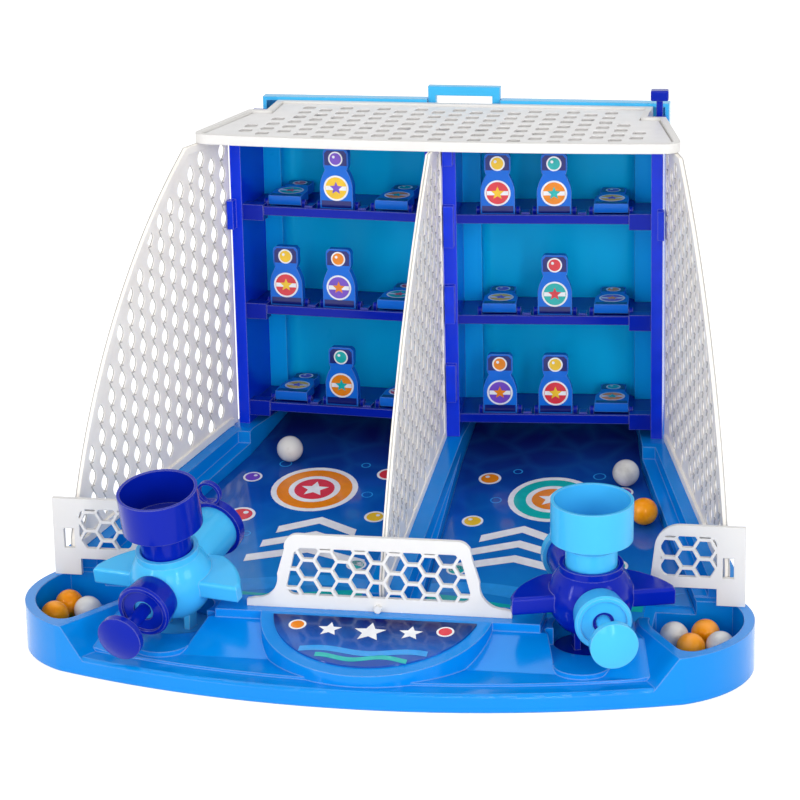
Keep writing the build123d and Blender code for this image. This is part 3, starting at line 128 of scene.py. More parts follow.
# Lamps: name, place, aim, width and height in metres, watts
LAMPS = (
    ("key", (-0.8, -1.7, 0.9), (0.0, 0.0, 0.1), 0.9, 0.9, 4.0),
    ("fill", (1.75, -1.1, 0.75), (-0.1, 0.0, 0.12), 0.8, 0.8, 11.0),
    ("front", (0.2, -2.1, 0.5), (0.0, 0.1, 0.15), 0.7, 0.7, 6.0),
    ("top", (0.0, 0.3, 1.9), (0.0, 0.0, 0.1), 1.4, 1.4, 7.0),
    ("strip_left", (-1.4, -1.4, 0.6), (0.0, 0.0, 0.1), 0.12, 1.2, 9.0),
    ("strip_right", (0.9, -1.8, 0.6), (0.0, 0.0, 0.1), 0.12, 1.2, 8.0),
)


def linear(code):
    """Linear RGBA of an sRGB hex colour."""
    parts = [int(code[k:k + 2], 16) / 255 for k in (0, 2, 4)]
    return [p / 12.92 if p <= 0.04045 else ((p + 0.055) / 1.055) ** 2.4 for p in parts] + [1.0]


def shade(code, factor):
    """A darker or lighter version of a colour."""
    return [min(1.0, c * factor) for c in linear(code)[:3]] + [1.0]


def tint(code, share):
    """A colour mixed with white."""
    return [c + (1.0 - c) * share for c in linear(code)[:3]] + [1.0]


class Material:
    """A node material with a Principled shader and a few building blocks."""

    def __init__(self, name):
        self.material = bpy.data.materials.new(name)
        self.material.use_nodes = True
        self.nodes = self.material.node_tree.nodes
        self.links = self.material.node_tree.links
        self.shader = self.nodes["Principled BSDF"]
        self.coords = self.nodes.new("ShaderNodeTexCoord").outputs["Object"]

    def set(self, **values):
        """Constants on the shader's own sockets."""
        for key, value in values.items():
            self.shader.inputs[key.replace("_", " ")].default_value = value

    def link(self, output, socket):
        """An output into one of the shader's sockets."""
        self.links.new(output, self.shader.inputs[socket])

    def noise(self, scale, detail=2.0):
        """Cloud noise over the object."""
        node = self.nodes.new("ShaderNodeTexNoise")
        node.inputs["Scale"].default_value = scale
        node.inputs["Detail"].default_value = detail
        self.links.new(self.coords, node.inputs["Vector"])
        return node.outputs["Fac"]

    def ramp(self, factor, stops):
        """Colours along a factor."""
        node = self.nodes.new("ShaderNodeValToRGB")
        points = node.color_ramp.elements
        while len(points) < len(stops):
            points.new(0.5)
        for point, (place, colour) in zip(points, stops):
            point.position = place
            point.color = colour
        self.links.new(factor, node.inputs["Fac"])
        return node.outputs["Color"]

    def clouds(self, scale, detail, code, dark, light):
        """A colour that drifts between a darker and a lighter shade."""
        return self.ramp(self.noise(scale, detail), [(0.3, shade(code, dark)), (0.7, shade(code, light))])

    def spread(self, value, to_low, to_high, low=0.0, high=1.0):
        """A value moved from one range to another."""
        node = self.nodes.new("ShaderNodeMapRange")
        sockets = (("From Min", low), ("From Max", high), ("To Min", to_low), ("To Max", to_high))
        for socket, number in sockets:
            node.inputs[socket].default_value = number
        self.links.new(value, node.inputs["Value"])
        return node.outputs["Result"]

    def math(self, operation, first, second):
        """Arithmetic on two outputs, or on an output and a number."""
        node = self.nodes.new("ShaderNodeMath")
        node.operation = operation
        for socket, value in zip(node.inputs, (first, second)):
            if isinstance(value, float):
                socket.default_value = value
            else:
                self.links.new(value, socket)
        return node.outputs[0]

    def along(self, axis):
        """Distance along an axis through the object's origin."""
        node = self.nodes.new("ShaderNodeVectorMath")
        node.operation = "DOT_PRODUCT"
        node.inputs[1].default_value = axis
        self.links.new(self.coords, node.inputs[0])
        return node.outputs["Value"]

    def mix(self, factor, first, second):
        """Two colours or colour outputs mixed."""
        node = self.nodes.new("ShaderNodeMix")
        node.data_type = "RGBA"
        self.links.new(factor, node.inputs[0])
        for socket, value in ((node.inputs[6], first), (node.inputs[7], second)):
            if isinstance(value, list):
                socket.default_value = value
            else:
                self.links.new(value, socket)
        return node.outputs[2]

    def rounded(self, radius):
        """Normal with softened edges."""
        node = self.nodes.new("ShaderNodeBevel")
        node.samples = 4
        node.inputs["Radius"].default_value = radius
        return node.outputs["Normal"]

    def edges(self, normal):
        """1 on the object's edges, 0 on its faces."""
        surface = self.nodes.new("ShaderNodeNewGeometry")
        node = self.nodes.new("ShaderNodeVectorMath")
        node.operation = "DOT_PRODUCT"
        self.links.new(normal, node.inputs[0])
        self.links.new(surface.outputs["Normal"], node.inputs[1])
        return self.spread(node.outputs["Value"], 1.0, 0.0, 0.8, 0.985)

    def relief(self, height, strength, distance, normal=None):
        """Bump from a height, over softened edges."""
        bump = self.nodes.new("ShaderNodeBump")
        bump.inputs["Strength"].default_value = strength
        bump.inputs["Distance"].default_value = distance
        self.links.new(height, bump.inputs["Height"])
        if normal:
            self.links.new(normal, bump.inputs["Normal"])
        self.link(bump.outputs["Normal"], "Normal")


def finish_plastic(mat, colour, rough, grain, edge_highlight_colour, rounding, gloss, shine):
    """Uneven gloss, fine moulded skin, soft edges and a painted highlight that makes the edges paler."""
    normal = mat.rounded(rounding)
    # Painted highlight: the colour turns paler towards the edges.
    mat.link(mat.mix(mat.math("MULTIPLY", mat.edges(normal), 0.65), colour, edge_highlight_colour), "Base Color")
    mat.link(mat.spread(mat.noise(55.0, 4.0), rough - 0.06, rough + 0.06), "Roughness")
    mat.relief(mat.noise(900.0), grain, 0.0002, normal)
    mat.set(Specular_IOR_Level=gloss, Specular_Tint=shine)
    return mat.material


def plastic(name, code, rough=0.16, mottle=0.05, grain=0.03, rounding=EDGE_ROUND, gloss=0.5):
    """Moulded plastic with faint flow clouds in the colour and reflections of its hue."""
    mat = Material(name)
    colour = mat.clouds(12.0, 3.0, code, 1 - mottle, 1 + mottle)
    # The colour mixed with white is the painted highlight along the edges.
    return finish_plastic(mat, colour, rough, grain, tint(code, 0.3), rounding, gloss, tint(code, 0.4))


def net_plastic(name, code):
    """Off-white moulded cord with a fine twisted grain."""
    mat = Material(name)
    mat.link(mat.clouds(60.0, 3.0, code, 0.95, 1.03), "Base Color")
    mat.link(mat.spread(mat.noise(70.0, 3.0), 0.36, 0.48), "Roughness")
    mat.relief(mat.noise(420.0), 0.25, 0.0004)
    mat.set(Specular_IOR_Level=0.35)
    return mat.material


def panel_paint(name, side):
    """Back panel: deep blue, brighter on the rounded side returns that stand forward of it."""
    mat = Material(name)
    turn = radians(COLUMN_YAW) * side
    depth = mat.along((-sin(turn), cos(turn), 0.0))
    start = PILLAR_Y * cos(turn)
    face = mat.spread(depth, 0.0, 1.0, (start + RETURN_DEPTH) * MM, (start + PANEL_DEPTH) * MM)
    paint = mat.mix(face, linear(PANEL_EDGE), mat.clouds(9.0, 3.0, PANEL_BLUE, 0.94, 1.08))
    # Painted highlight: a paler colour along the panel's edges.
    edge_highlight, shine = tint(PANEL_EDGE, 0.2), tint(PANEL_BLUE, 0.25)
    return finish_plastic(mat, paint, 0.3, 0.03, edge_highlight, EDGE_ROUND, 0.3, shine)


def sea_print(name, low_y, high_y, deep, pale):
    """Coated card printed with a water gradient, soft shoals of light and a fine print grain."""
    mat = Material(name)
    share = mat.spread(mat.along((0, 1, 0)), 0.0, 1.0, low_y * MM, high_y * MM)
    swirl = mat.math("ADD", share, mat.spread(mat.noise(16.0, 5.0), -0.22, 0.22))
    water = mat.ramp(swirl, [(0.1, linear(pale)), (0.55, linear(SEA_BLUE)), (1.0, linear(deep))])
    cells = mat.nodes.new("ShaderNodeTexVoronoi")
    cells.feature = "DISTANCE_TO_EDGE"
    cells.inputs["Scale"].default_value = 34.0
    mat.links.new(mat.coords, cells.inputs["Vector"])
    glint = mat.spread(cells.outputs["Distance"], 0.08, 0.0, 0.0, 0.16)
    mat.link(mat.mix(glint, water, linear(SKY)), "Base Color")
    mat.link(mat.spread(mat.noise(40.0, 3.0), 0.05, 0.13), "Roughness")
    mat.relief(mat.noise(1200.0), 0.015, 0.0001)
    mat.set(Specular_IOR_Level=0.45)
    return mat.material


def ink(name, code):
    """Printed colour with a slight unevenness under a clear coat."""
    mat = Material(name)
    mat.link(mat.clouds(180.0, 3.0, code, 0.93, 1.05), "Base Color")
    mat.link(mat.spread(mat.noise(60.0), 0.06, 0.14), "Roughness")
    mat.set(Specular_IOR_Level=0.4)
    return mat.material


def ball_plastic(name, code, cloud_code):
    """Hollow ball with milky swirls."""
    mat = Material(name)
    stops = [(0.32, linear(cloud_code)), (0.5, linear(code)), (0.75, tint(code, 0.08))]
    mat.link(mat.ramp(mat.noise(95.0, 4.0), stops), "Base Color")
    mat.link(mat.spread(mat.noise(200.0), 0.1, 0.2), "Roughness")
    mat.set(Specular_IOR_Level=0.5, Specular_Tint=tint(code, 0.3))
    return mat.material


def metal(name, code, rough=0.3):
    """Plated steel with fine uneven polish."""
    mat = Material(name)
    mat.link(mat.clouds(120.0, 3.0, code, 0.85, 1.1), "Base Color")
    mat.link(mat.spread(mat.noise(400.0), rough - 0.1, rough + 0.1), "Roughness")
    mat.relief(mat.noise(1500.0), 0.05, 0.0001, mat.rounded(0.0002))
    mat.set(Metallic=1.0)
    return mat.material


MATERIALS = {
    "base_blue": plastic("base_blue", BASE_BLUE, 0.15, 0.04, rounding=0.0012),
    "dark_blue": plastic("dark_blue", DARK_BLUE, 0.14, rounding=0.0009, gloss=0.32),
    "cyan": plastic("cyan", CYAN, 0.15, 0.04, rounding=0.001, gloss=0.35),
    "net_white": plastic("net_white", NET_WHITE, 0.4, 0.02, 0.08),
    "target_blue": plastic("target_blue", TARGET_BLUE),
    "orange": ball_plastic("orange", BALL_ORANGE, BALL_AMBER),
    "pearl": ball_plastic("pearl", PEARL, PEARL_GREY),
    "steel": metal("steel", STEEL),
    "print_navy": sea_print("print_navy", -90.0, 130.0, NAVY, SEA_PALE),
}
CABINET = plastic("cabinet_blue", CABINET_BLUE, rounding=0.0009)
NODE_MATERIALS = {
    "back_panel_left": panel_paint("panel_left", -1),
    "back_panel_right": panel_paint("panel_right", 1),
    "cabinet_column_left": CABINET,
    "cabinet_column_right": CABINET,
    "front_label": sea_print("label_print", -186.0, -128.0, LABEL_DEEP, LABEL_PALE),
}
# The second material of each pair is the painted shade grey for the walls of the openings.
CORD = [net_plastic("cord_face", CORD_WHITE), net_plastic("cord_wall_shade", CORD_SHADE_GREY)]
ROOF_CORD = [net_plastic("roof_face", ROOF_WHITE), net_plastic("roof_wall_shade", ROOF_SHADE_GREY)]
INKS = {name: ink("ink_" + name, code) for name, code in (
    ("white", WHITE), ("orange", ORANGE), ("coral", CORAL), ("yellow", YELLOW), ("teal", TEAL),
    ("violet", VIOLET), ("sky", SKY), ("navy", NAVY))}


def dress_nodes():
    """Every carried-over CAD node takes its own material or that of its slot."""
    slots = {s["node"]: s["material_slot"] for s in frame["record"]["subparts"]}
    for name, node in NODES.items():
        node.data.materials.clear()
        node.data.materials.append(NODE_MATERIALS.get(name) or MATERIALS[slots[name]])


def add_mesh(name, verts, faces, materials, indices, body):
    """A mesh piece that rides on a body."""
    mesh = bpy.data.meshes.new(name)
    mesh.from_pydata(verts, [], faces)
    for material in materials:
        mesh.materials.append(material)
    mesh.polygons.foreach_set("material_index", indices)
    piece = bpy.data.objects.new(name, mesh)
    bpy.context.scene.collection.objects.link(piece)
    if body:
        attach(piece, body)
    return piece


class Print:
    """Flat printed shapes laid on a surface; place(x, y, lift) gives a point over it in millimetres."""

    def __init__(self, name, place):
        self.name = name
        self.place = place
        self.verts, self.faces, self.indices, self.inks = [], [], [], []

    def shape(self, colour, points, layer=0):
        """Filled outline."""
        if colour not in self.inks:
            self.inks.append(colour)
        lift = PRINT_LIFT + LAYER_LIFT * layer
        start = len(self.verts)
        self.verts += [Vector(self.place(x, y, lift)) * MM for x, y in points]
        self.faces.append(tuple(range(start, start + len(points))))
        self.indices.append(self.inks.index(colour))

    def disc(self, colour, x, y, radius, layer=0):
        """Filled circle."""
        turn = [2 * pi * k / DISC_STEPS for k in range(DISC_STEPS)]
        self.shape(colour, [(x + radius * cos(a), y + radius * sin(a)) for a in turn], layer)

    def ring(self, colour, x, y, radius, width, layer=0):
        """Circle line."""
        for k in range(DISC_STEPS):
            a, b = 2 * pi * k / DISC_STEPS, 2 * pi * (k + 1) / DISC_STEPS
            corners = [(radius, a), (radius, b), (radius - width, b), (radius - width, a)]
            self.shape(colour, [(x + r * cos(t), y + r * sin(t)) for r, t in corners], layer)

    def star(self, colour, x, y, radius, layer=0):
        """Five-pointed star."""
        points = [(radius if k % 2 == 0 else radius * 0.45, pi / 2 + pi * k / 5) for k in range(10)]
        self.shape(colour, [(x + r * cos(a), y + r * sin(a)) for r, a in points], layer)

    def build(self, body, slot):
        """The finished piece."""
        inks = [INKS[colour] for colour in self.inks]
        return add_mesh(self.name, self.verts, self.faces, inks, self.indices, body)


def floor_z(y):
    """Height of the lane floors at a depth."""
    return FLOOR_Z + FLOOR_FALL * (y - FLOOR_REF_Y)


def lane_sides(y):
    """Inner and outer edge of the lane's artwork at a depth, as distances from the middle of the game."""
    run = LANE_REAR_Y - y
    outer = LANE_REAR_OUTER + LANE_SPLAY * run
    if y < LANE_GATE_Y:
        outer = min(outer, LANE_GATE_OUTER)
    return LANE_REAR_INNER + LANE_TAPER * run, outer


def lane_print(name, side, first, second):
    """Lane artwork: waves at the players' end, arrows up the lane, a bull's-eye and bubbles."""
    art = Print("lane_print_" + name, lambda x, y, lift: (side * x, y, floor_z(y) + CARD_T + lift))

    def wave(colour, y0, width, swing, phase, layer):
        steps = [k / LANE_STEPS for k in range(LANE_STEPS + 1)]
        upper = [(t, y0 + swing * sin(7 * t + phase)) for t in steps]
        lower = [(t, y - width) for t, y in reversed(upper)]
        points = []
        for t, y in upper + lower:
            inner, outer = lane_sides(y)
            points.append((inner + t * (outer - inner), y))
        art.shape(colour, points, layer)

    wave("sky", -52.0, 11.0, 5.0, 0.3, 0)
    wave("teal", -66.0, 8.0, 4.0, 1.4, 1)
    middle, rise, band = 62.0, 13.0, 8.0
    for k in range(3):
        y, half = -36.0 + 17.0 * k, 36.0 - 6.0 * k
        lower = [(middle - half, y), (middle, y + rise), (middle + half, y)]
        art.shape("white", lower + [(a, b + band) for a, b in reversed(lower)], 2)
    bull = (74.0, 52.0)
    circles = (("white", 27.0), (first, 23.5), ("white", 16.0), (second, 12.5))
    for layer, (colour, radius) in enumerate(circles):
        art.disc(colour, *bull, radius, layer)
    art.star("white", *bull, 9.0, 4)
    spots = ((32.0, 74.0, 7.0, second), (112.0, 18.0, 8.5, "coral"), (30.0, 22.0, 6.5, "yellow"),
             (122.0, -22.0, 7.5, first), (30.0, -34.0, 6.0, "teal"), (116.0, 64.0, 6.0, "violet"))
    for x, y, radius, colour in spots:
        art.disc("white", x, y, radius, 1)
        art.disc(colour, x, y, radius * 0.78, 2)
        art.disc("white", x - radius * 0.25, y + radius * 0.28, radius * 0.2, 3)
    bubbles = ((48.0, 84.0, 3.0), (99.0, 82.0, 4.0), (40.0, 48.0, 3.6), (104.0, -4.0, 3.0),
               (134.0, -46.0, 4.0))
    for x, y, radius in bubbles:
        art.ring("sky", x, y, radius, 0.8, 1)
    art.build("game", "print_navy")


def label_print():
    """Front label artwork: stars over two waves."""
    def place(x, y, lift):
        share = (y - APRON_TIP_Y) / (APRON_BACK_Y - APRON_TIP_Y)
        return (x, y, APRON_FRONT_Z + share * (APRON_REAR_Z - APRON_FRONT_Z) + CARD_T + lift)

    art = Print("label_print", place)
    waves = (("sky", -157.0, 5.0, 36.0, 0.0), ("teal", -164.0, 4.0, 26.0, 1.2))
    for colour, level, thick, half, phase in waves:
        steps = [k / LABEL_STEPS for k in range(LABEL_STEPS + 1)]
        upper = [(half * (2 * t - 1), level + 1.8 * sin(9 * t + phase)) for t in steps]
        art.shape(colour, upper + [(x, y - thick) for x, y in reversed(upper)], 0)
    for x, y, radius in ((0.0, -140.0, 9.5), (-23.0, -139.0, 7.0), (23.0, -139.0, 7.0)):
        art.star("white", x, y, radius, 1)
    for x, colour in ((-42.0, "orange"), (42.0, "coral")):
        art.disc("white", x, -136.0, 5.0, 1)
        art.disc(colour, x, -136.0, 3.8, 2)
    art.build("game", "print_navy")


def target_print(node, stand, big, small):
    """Artwork of one flip target: dark head and foot, a ball on the head and a bigger one on the body."""
    art = Print("print_" + node, lambda x, z, lift: stand @ Vector((x, TARGET_FRONT - lift, z)))
    art.shape("navy", [(-7.2, 25.6), (7.2, 25.6), (7.2, 33.0), (5.4, 35.0), (-5.4, 35.0), (-7.2, 33.0)])
    art.shape("navy", [(-9.6, -1.0), (9.6, -1.0), (9.6, 3.4), (-9.6, 3.4)])
    head, body = (0.0, 29.8), (0.0, 11.4)
    art.disc("white", *head, 4.6, 1)
    art.disc(small, *head, 3.7, 2)
    art.disc("white", -1.2, 31.0, 0.9, 3)
    art.disc("white", *body, 8.0, 1)
    art.disc(big, *body, 6.9, 2)
    art.shape("white", [(-6.6, 10.1), (6.6, 10.1), (6.6, 12.7), (-6.6, 12.7)], 3)
    art.star(small, *body, 4.2, 4)
    art.build(node, "target_blue")


def target_prints():
    """Artwork on all flip targets, in five colour pairs taken in turn."""
    palettes = (("coral", "yellow"), ("orange", "teal"), ("yellow", "violet"), ("teal", "coral"),
                ("violet", "orange"))
    count = 0
    for name, side in SIDES.items():
        column = Matrix.Translation((0, PILLAR_Y, 0)) @ Matrix.Rotation(radians(side * COLUMN_YAW), 4, "Z")
        for level, height in enumerate(HINGE_HEIGHTS):
            for place in range(3):
                x = side * (BAY_MIDDLE + (place - 1) * TARGET_PITCH)
                spot = Matrix.Translation((x, HINGE_Y, height))
                lean = 0.0 if STANDING[name][level][place] else radians(-TARGET_FALL)
                stand = column @ spot @ Matrix.Rotation(lean, 4, "X")
                node = f"target_{name}_{level + 1}{place + 1}"
                target_print(node, stand, *palettes[count % len(palettes)])
                count += 1


def almond(x, y):
    """Outline of one net opening."""
    steps = [k / 7 - 0.5 for k in range(8)]
    right = [(x + NET_HOLE_W / 2 * cos(pi * s), y + NET_HOLE_H * s) for s in steps]
    return right + [(2 * x - a, b) for a, b in reversed(right[1:-1])]


def inset(points, width):
    """A closed anticlockwise outline moved inwards."""
    moved = []
    for k, here in enumerate(points):
        lines = []
        for first, second in ((points[k - 1], here), (here, points[(k + 1) % len(points)])):
            run = (second[0] - first[0], second[1] - first[1])
            size = hypot(*run)
            lines.append((-run[1] / size, run[0] / size))
        (a, b), (c, d) = lines
        share = width / (1.0 + a * c + b * d)
        moved.append((here[0] + (a + c) * share, here[1] + (b + d) * share))
    return moved


def plate(outline, openings, thick, rounding, level):
    """Vertices and faces of a flat plate with openings and rounded edges, in its own XY plane."""
    curve = bpy.data.curves.new("plate", "CURVE")
    curve.dimensions = "2D"
    curve.fill_mode = "BOTH"
    curve.extrude = (thick / 2 - rounding) * MM
    curve.bevel_depth = rounding * MM
    curve.bevel_resolution = 2
    for loop in [outline] + openings:
        spline = curve.splines.new("POLY")
        spline.points.add(len(loop) - 1)
        for point, (x, y) in zip(spline.points, loop):
            point.co = (x * MM, y * MM, 0.0, 1.0)
        spline.use_cyclic_u = True
    holder = bpy.data.objects.new("plate", curve)
    bpy.context.scene.collection.objects.link(holder)
    mesh = bpy.data.meshes.new_from_object(holder.evaluated_get(bpy.context.evaluated_depsgraph_get()))
    bpy.data.objects.remove(holder)
    verts = [v.co + Vector((0.0, 0.0, level * MM)) for v in mesh.vertices]
    return verts, [tuple(p.vertices) for p in mesh.polygons]


def knot(u, v, level, side):
    """Slanted knot between two openings, raised from one face of the cord."""
    low = level + side * (CORD_T / 2 - KNOT_SINK)
    high = level + side * (CORD_T / 2 + KNOT_T)
    near, far = KNOT_HALF - KNOT_LEAN, KNOT_HALF + KNOT_LEAN
    foot = [(-far, -KNOT_TALL), (near, -KNOT_TALL), (far, KNOT_TALL), (-near, KNOT_TALL)]
    verts = [Vector((u + x, v + y, low)) * MM for x, y in foot]
    verts += [Vector((u + KNOT_TAPER * x, v + KNOT_TAPER * y, high)) * MM for x, y in foot]
    faces = [(3, 2, 1, 0), (4, 5, 6, 7)] + [(k, (k + 1) % 4, (k + 1) % 4 + 4, k + 4) for k in range(4)]
    return verts, [face[::side] for face in faces]


def cord_piece(name, parts, materials, matrix):
    """Piece of plates and knots in one plane; each part names the material of its walls, 1 for the painted
    shade grey, 0 for the face colour.
    """
    verts, faces, walls = [], [], []
    for (points, sides), wall in parts:
        faces += [tuple(len(verts) + k for k in side) for side in sides]
        walls += [wall] * len(sides)
        verts += points
    piece = add_mesh(name, verts, faces, materials, [0] * len(faces), None)
    for face, wall in zip(piece.data.polygons, walls):
        # Steep faces, the walls of openings and knots, take the painted shade.
        face.material_index = wall if abs(face.normal.z) < WALL_STEEPNESS else 0
    piece.matrix_world = matrix
    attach(piece, "game")
    return piece


class UprightNet:
    """Net of moulded cord in a thicker rim, u forward from its rear end and v up, in millimetres."""

    def __init__(self, length, top, bulge, low_z, bends):
        self.length, self.top, self.low_z = length, top, low_z
        end = (length - NET_EDGE, low_z(length) + NET_FOOT_H)
        start = (top - NET_EDGE, NET_TOP_Z - NET_EDGE)
        chord = hypot(end[0] - start[0], end[1] - start[1])
        normal = ((start[1] - end[1]) / chord, (end[0] - start[0]) / chord)
        rise = bulge - NET_EDGE
        self.radius = (chord * chord / 4 + rise * rise) / (2 * rise)
        self.centre = [(start[k] + end[k]) / 2 + (rise - self.radius) * normal[k] for k in (0, 1)]
        self.lower = [(u, low_z(u) + NET_EDGE) for u in (*bends, length - NET_EDGE)]
        self.front = []
        for k in range(ARC_STEPS + 1):
            x, y = (end[n] + (start[n] - end[n]) * k / ARC_STEPS - self.centre[n] for n in (0, 1))
            reach = self.radius / hypot(x, y)
            self.front.append((self.centre[0] + x * reach, self.centre[1] + y * reach))

    def outline(self, rear):
        """Closed outline from a rear end to the curved front edge."""
        return [(rear, NET_TOP_Z - NET_EDGE), (rear, self.low_z(rear) + NET_EDGE)] + self.lower + self.front

    def inside(self, u, v, margin):
        """Whether a point keeps a margin to the net's edge."""
        if not (self.low_z(u) + margin < v < NET_TOP_Z - margin and 0.0 < u < self.length - margin):
            return False
        return u < self.top or hypot(u - self.centre[0], v - self.centre[1]) < self.radius - margin

    def openings(self, first):
        """Centres of the openings, column by column from a first one."""
        places = []
        column, u = 0, first
        while u < self.length:
            v = NET_ROW / 2 * (column % 2)
            while v < NET_TOP_Z:
                tips = [(u, v - NET_HOLE_H / 2), (u + NET_HOLE_W / 2, v), (u, v + NET_HOLE_H / 2)]
                if self.inside(u, v, CENTRE_MARGIN) and all(self.inside(*tip, TIP_MARGIN) for tip in tips):
                    places.append((u, v))
                v += NET_ROW
            u += NET_COLUMN
            column += 1
        return places

    def rim(self, flange):
        """The thicker rim, open at the rear where the net has a flange."""
        outer = self.outline(NET_EDGE)
        inner = inset(outer, RIM_BAND)
        if not flange:
            return plate(outer, [inner], NET_T, NET_EDGE, 0.0)
        upper, lower = [(NET_EDGE, inner[0][1])], [(NET_EDGE, inner[1][1])]
        return plate(outer[1:] + outer[:1] + upper + inner[:1:-1] + lower, [], NET_T, NET_EDGE, 0.0)

    def build(self, name, node, flange, level, knotted, matrix):
        """The finished piece in place of its node, with knots on one or both faces."""
        places = self.openings(FLANGE_COLUMN if flange else NET_RIM + NET_HOLE_W / 2 + NET_EDGE)
        holes = [almond(*place) for place in places]
        mesh = plate(self.outline(NET_EDGE - flange), holes, CORD_T, CORD_ROUND, level)
        # The cord's and knots' walls take the painted shade, the rim's walls keep the face colour.
        parts = [(mesh, 1), (self.rim(flange), 0)]
        for (u, v), (next_u, next_v) in zip(places, places[1:]):
            if next_u == u:
                parts += [(knot(u, (v + next_v) / 2, level, side), 1) for side in knotted]
        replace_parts(cord_piece(name, parts, CORD, matrix), node)


def roof_front(x):
    """Depth of the roof's bowed front edge."""
    return ROOF_FRONT_Y - ROOF_BOW * (1 - (x / ROOF_FRONT_HALF) ** 2)


def roof_mat():
    """Moulded cord mat on the roof: staggered slots in a thin raised layer."""
    bow = [ROOF_FRONT_HALF * (k / 12 - 1) for k in range(25)]
    outline = [(x, roof_front(x)) for x in bow] + [
        (ROOF_STEP_HALF, ROOF_STEP_Y), (ROOF_REAR_HALF, ROOF_STEP_Y), (ROOF_REAR_HALF, ROOF_REAR_Y),
        (-ROOF_REAR_HALF, ROOF_REAR_Y), (-ROOF_REAR_HALF, ROOF_STEP_Y), (-ROOF_STEP_HALF, ROOF_STEP_Y)]
    slots = []
    column, x = 0, -NET_COLUMN * 11
    while x < ROOF_FRONT_HALF:
        y = ROOF_FRONT_Y + NET_ROW / 2 * (column % 2)
        while y < ROOF_REAR_Y - SLOT_MARGIN:
            reach = ROOF_REAR_HALF - SLOT_SIDE_MARGIN
            if y < ROOF_STEP_Y - SLOT_STEP_MARGIN:
                reach = ROOF_STEP_HALF - (y - ROOF_FRONT_Y) * SLOT_TAPER
            if abs(x) < reach and y > roof_front(x) + SLOT_MARGIN:
                slots.append([(x + a * SLOT_HALF, y + b * SLOT_HALF) for a, b in SLOT_CORNERS])
            y += NET_ROW
        x += NET_COLUMN
        column += 1
    mat = plate(inset(outline, ROOF_RIM_W + MAT_GAP), slots, CORD_T, SLOT_ROUND, CORD_T / 2)
    place = Matrix.Translation((0.0, 0.0, (ROOF_Z + ROOF_T + MAT_LIFT) * MM))
    # The walls of the slots take the painted shade grey.
    cord_piece("roof_cord", [(mat, 1)], ROOF_CORD, place)


def rail_z(y):
    """Height of the rail tops at a depth."""
    return CABINET_Z + RAIL_FALL * min(0.0, y - RAIL_START_Y)


def net_frame(origin, forward, across):
    """Matrix of a net: X forward, Y up, Z across, at the net's mid-plane."""
    axes = Matrix((forward, (0.0, 0.0, 1.0), across)).transposed().to_4x4()
    return Matrix.Translation(Vector(origin) * MM) @ axes


def nets():
    """The two side nets, with knots on their inner faces, and the divider."""
    turn = radians(SIDE_NET_TURN)
    bend = (SIDE_NET_Y - RAIL_START_Y) / cos(turn)
    side_net = UprightNet(SIDE_NET_LENGTH, SIDE_NET_TOP, SIDE_NET_BULGE,
                          lambda u: rail_z(SIDE_NET_Y - u * cos(turn)), [bend])
    for name, side in SIDES.items():
        forward = (side * sin(turn), -cos(turn), 0.0)
        inward = (-side * cos(turn), -sin(turn), 0.0)
        origin = (side * SIDE_NET_X + inward[0] * NET_T / 2, SIDE_NET_Y + inward[1] * NET_T / 2, 0.0)
        side_net.build("cord_net_" + name, "side_net_" + name, NET_FLANGE, (CORD_T - NET_T) / 2, [1],
                       net_frame(origin, forward, inward))
    start = PILLAR_Y - DIVIDER_GAP
    divider = UprightNet(DIVIDER_LENGTH, DIVIDER_TOP, DIVIDER_BULGE, lambda u: rail_z(start - u), [])
    divider.build("cord_net_centre", "divider_net", 0.0, 0.0, [1, -1],
                  net_frame((0.0, start, 0.0), (0.0, -1.0, 0.0), (-1.0, 0.0, 0.0)))


def coil(start, length):
    """Vertices and faces of a wound wire along Y, in millimetres."""
    mean = SPRING_R - WIRE_R
    rings = TURN_STEPS * SPRING_TURNS
    verts, faces = [], []
    for k in range(rings + 1):
        turn = 2 * pi * k / TURN_STEPS
        for n in range(WIRE_SIDES):
            angle = 2 * pi * n / WIRE_SIDES
            radius = mean + WIRE_R * cos(angle)
            y = start + length * k / rings + WIRE_R * sin(angle)
            verts.append(Vector((radius * cos(turn), y, radius * sin(turn))))
    for k in range(rings):
        for n in range(WIRE_SIDES):
            a, b = k * WIRE_SIDES + n, k * WIRE_SIDES + (n + 1) % WIRE_SIDES
            faces.append((a, b, b + WIRE_SIDES, a + WIRE_SIDES))
    faces += [tuple(range(WIRE_SIDES)), tuple(rings * WIRE_SIDES + n for n in reversed(range(WIRE_SIDES)))]
    return verts, faces


def coil_springs():
    """Wound springs between each piston and its barrel's end wall, built at their free length."""
    points, faces = coil(SPRING_END + WIRE_R, SPRING_FREE - 2 * WIRE_R)
    for name, side in SIDES.items():
        yaw, pitch = (radians(a) for a in LAUNCHER_AIM[name])
        pin = Matrix.Translation((side * LAUNCHER_X, LAUNCHER_Y, TILT_PIN_Z))
        aim = Matrix.Rotation(yaw, 4, "Z") @ Matrix.Rotation(pitch, 4, "X")
        head = pin @ aim @ Matrix.Translation((0.0, 0.0, TILT_PIN_DROP))
        verts = [(head @ point) * MM for point in points]
        steel = [MATERIALS["steel"]]
        piece = add_mesh("coil_" + name, verts, faces, steel, [0] * len(faces), "head_" + name)
        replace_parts(piece, "plunger_spring_" + name)
        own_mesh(piece)


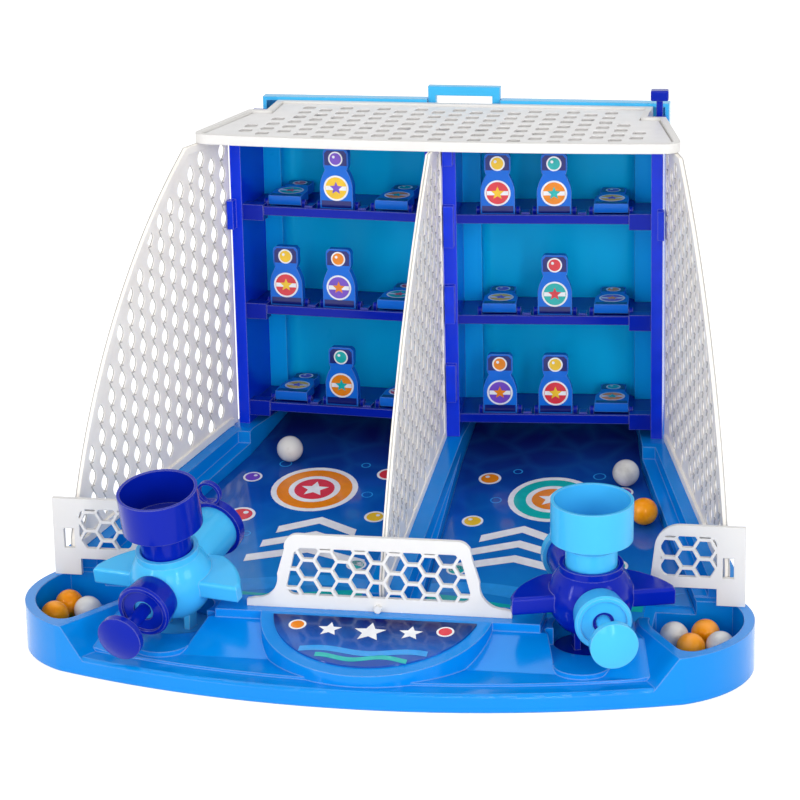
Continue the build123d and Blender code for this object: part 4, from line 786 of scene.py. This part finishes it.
def photo_camera():
    """Camera at the photograph's place: low in front, a little to the right."""
    turn, lift, roll = (radians(a) for a in CAMERA_ANGLES)
    target = Vector(CAMERA_TARGET)
    view = Vector((-sin(turn) * cos(lift), cos(turn) * cos(lift), -sin(lift)))
    right = Vector((cos(turn), sin(turn), 0.0))
    up = right.cross(view)
    x_axis = right * cos(roll) + up * sin(roll)
    y_axis = up * cos(roll) - right * sin(roll)
    camera = bpy.data.objects.new("camera", bpy.data.cameras.new("camera"))
    camera.data.lens = CAMERA_LENS
    axes = Matrix((x_axis, y_axis, -view)).transposed().to_4x4()
    camera.matrix_world = Matrix.Translation(target - view * CAMERA_DISTANCE) @ axes
    bpy.context.scene.collection.objects.link(camera)
    bpy.context.scene.camera = camera


def soft_lamp(name, place, aim, width, height, energy):
    """Soft box or strip lamp."""
    data = bpy.data.lights.new(name, "AREA")
    data.shape = "RECTANGLE"
    data.size, data.size_y = width, height
    data.energy = energy
    lamp = bpy.data.objects.new(name, data)
    lamp.location = place
    lamp.rotation_euler = (Vector(aim) - Vector(place)).to_track_quat("-Z", "Y").to_euler()
    bpy.context.scene.collection.objects.link(lamp)


def backdrop_share(nodes, links):
    """1 for rays that should see the plain white background, 0 for those that light the object."""
    path = nodes.new("ShaderNodeLightPath")
    total = path.outputs["Is Camera Ray"]
    for kind in ("Is Glossy Ray", "Is Transmission Ray"):
        node = nodes.new("ShaderNodeMath")
        node.operation = "MAXIMUM"
        links.new(total, node.inputs[0])
        links.new(path.outputs[kind], node.inputs[1])
        total = node.outputs[0]
    return total


def studio():
    """Pale floor, soft boxes and a white surround."""
    world = bpy.data.worlds.new("studio")
    bpy.context.scene.world = world
    world.use_nodes = True
    nodes, links = world.node_tree.nodes, world.node_tree.links
    strength = nodes.new("ShaderNodeMapRange")
    strength.inputs["To Min"].default_value = 0.5
    strength.inputs["To Max"].default_value = 1.0
    links.new(backdrop_share(nodes, links), strength.inputs["Value"])
    back = nodes["Background"]
    back.inputs["Color"].default_value = (1.0, 1.0, 1.0, 1.0)
    links.new(strength.outputs["Result"], back.inputs["Strength"])

    mesh = bpy.data.meshes.new("floor")
    corners = [(x * FLOOR_HALF, y * FLOOR_HALF, 0.0) for x, y in ((-1, -1), (1, -1), (1, 1), (-1, 1))]
    mesh.from_pydata(corners, [], [(0, 1, 2, 3)])
    floor = bpy.data.objects.new("floor", mesh)
    floor.location = (0.0, 0.0, -FLOOR_DROP)
    bpy.context.scene.collection.objects.link(floor)
    mat = Material("floor")
    mat.set(Base_Color=(0.9, 0.9, 0.9, 1.0), Roughness=0.9, Emission_Color=(1.0, 1.0, 1.0, 1.0))
    mat.link(mat.spread(backdrop_share(mat.nodes, mat.links), 0.0, 0.6), "Emission Strength")
    mesh.materials.append(mat.material)

    for lamp in LAMPS:
        soft_lamp(*lamp)


dress_nodes()
photo_camera()
studio()
nets()
roof_mat()
coil_springs()
lane_print("left", -1, "orange", "coral")
lane_print("right", 1, "teal", "orange")
label_print()
target_prints()
bpy.context.scene.view_settings.view_transform = "Standard"
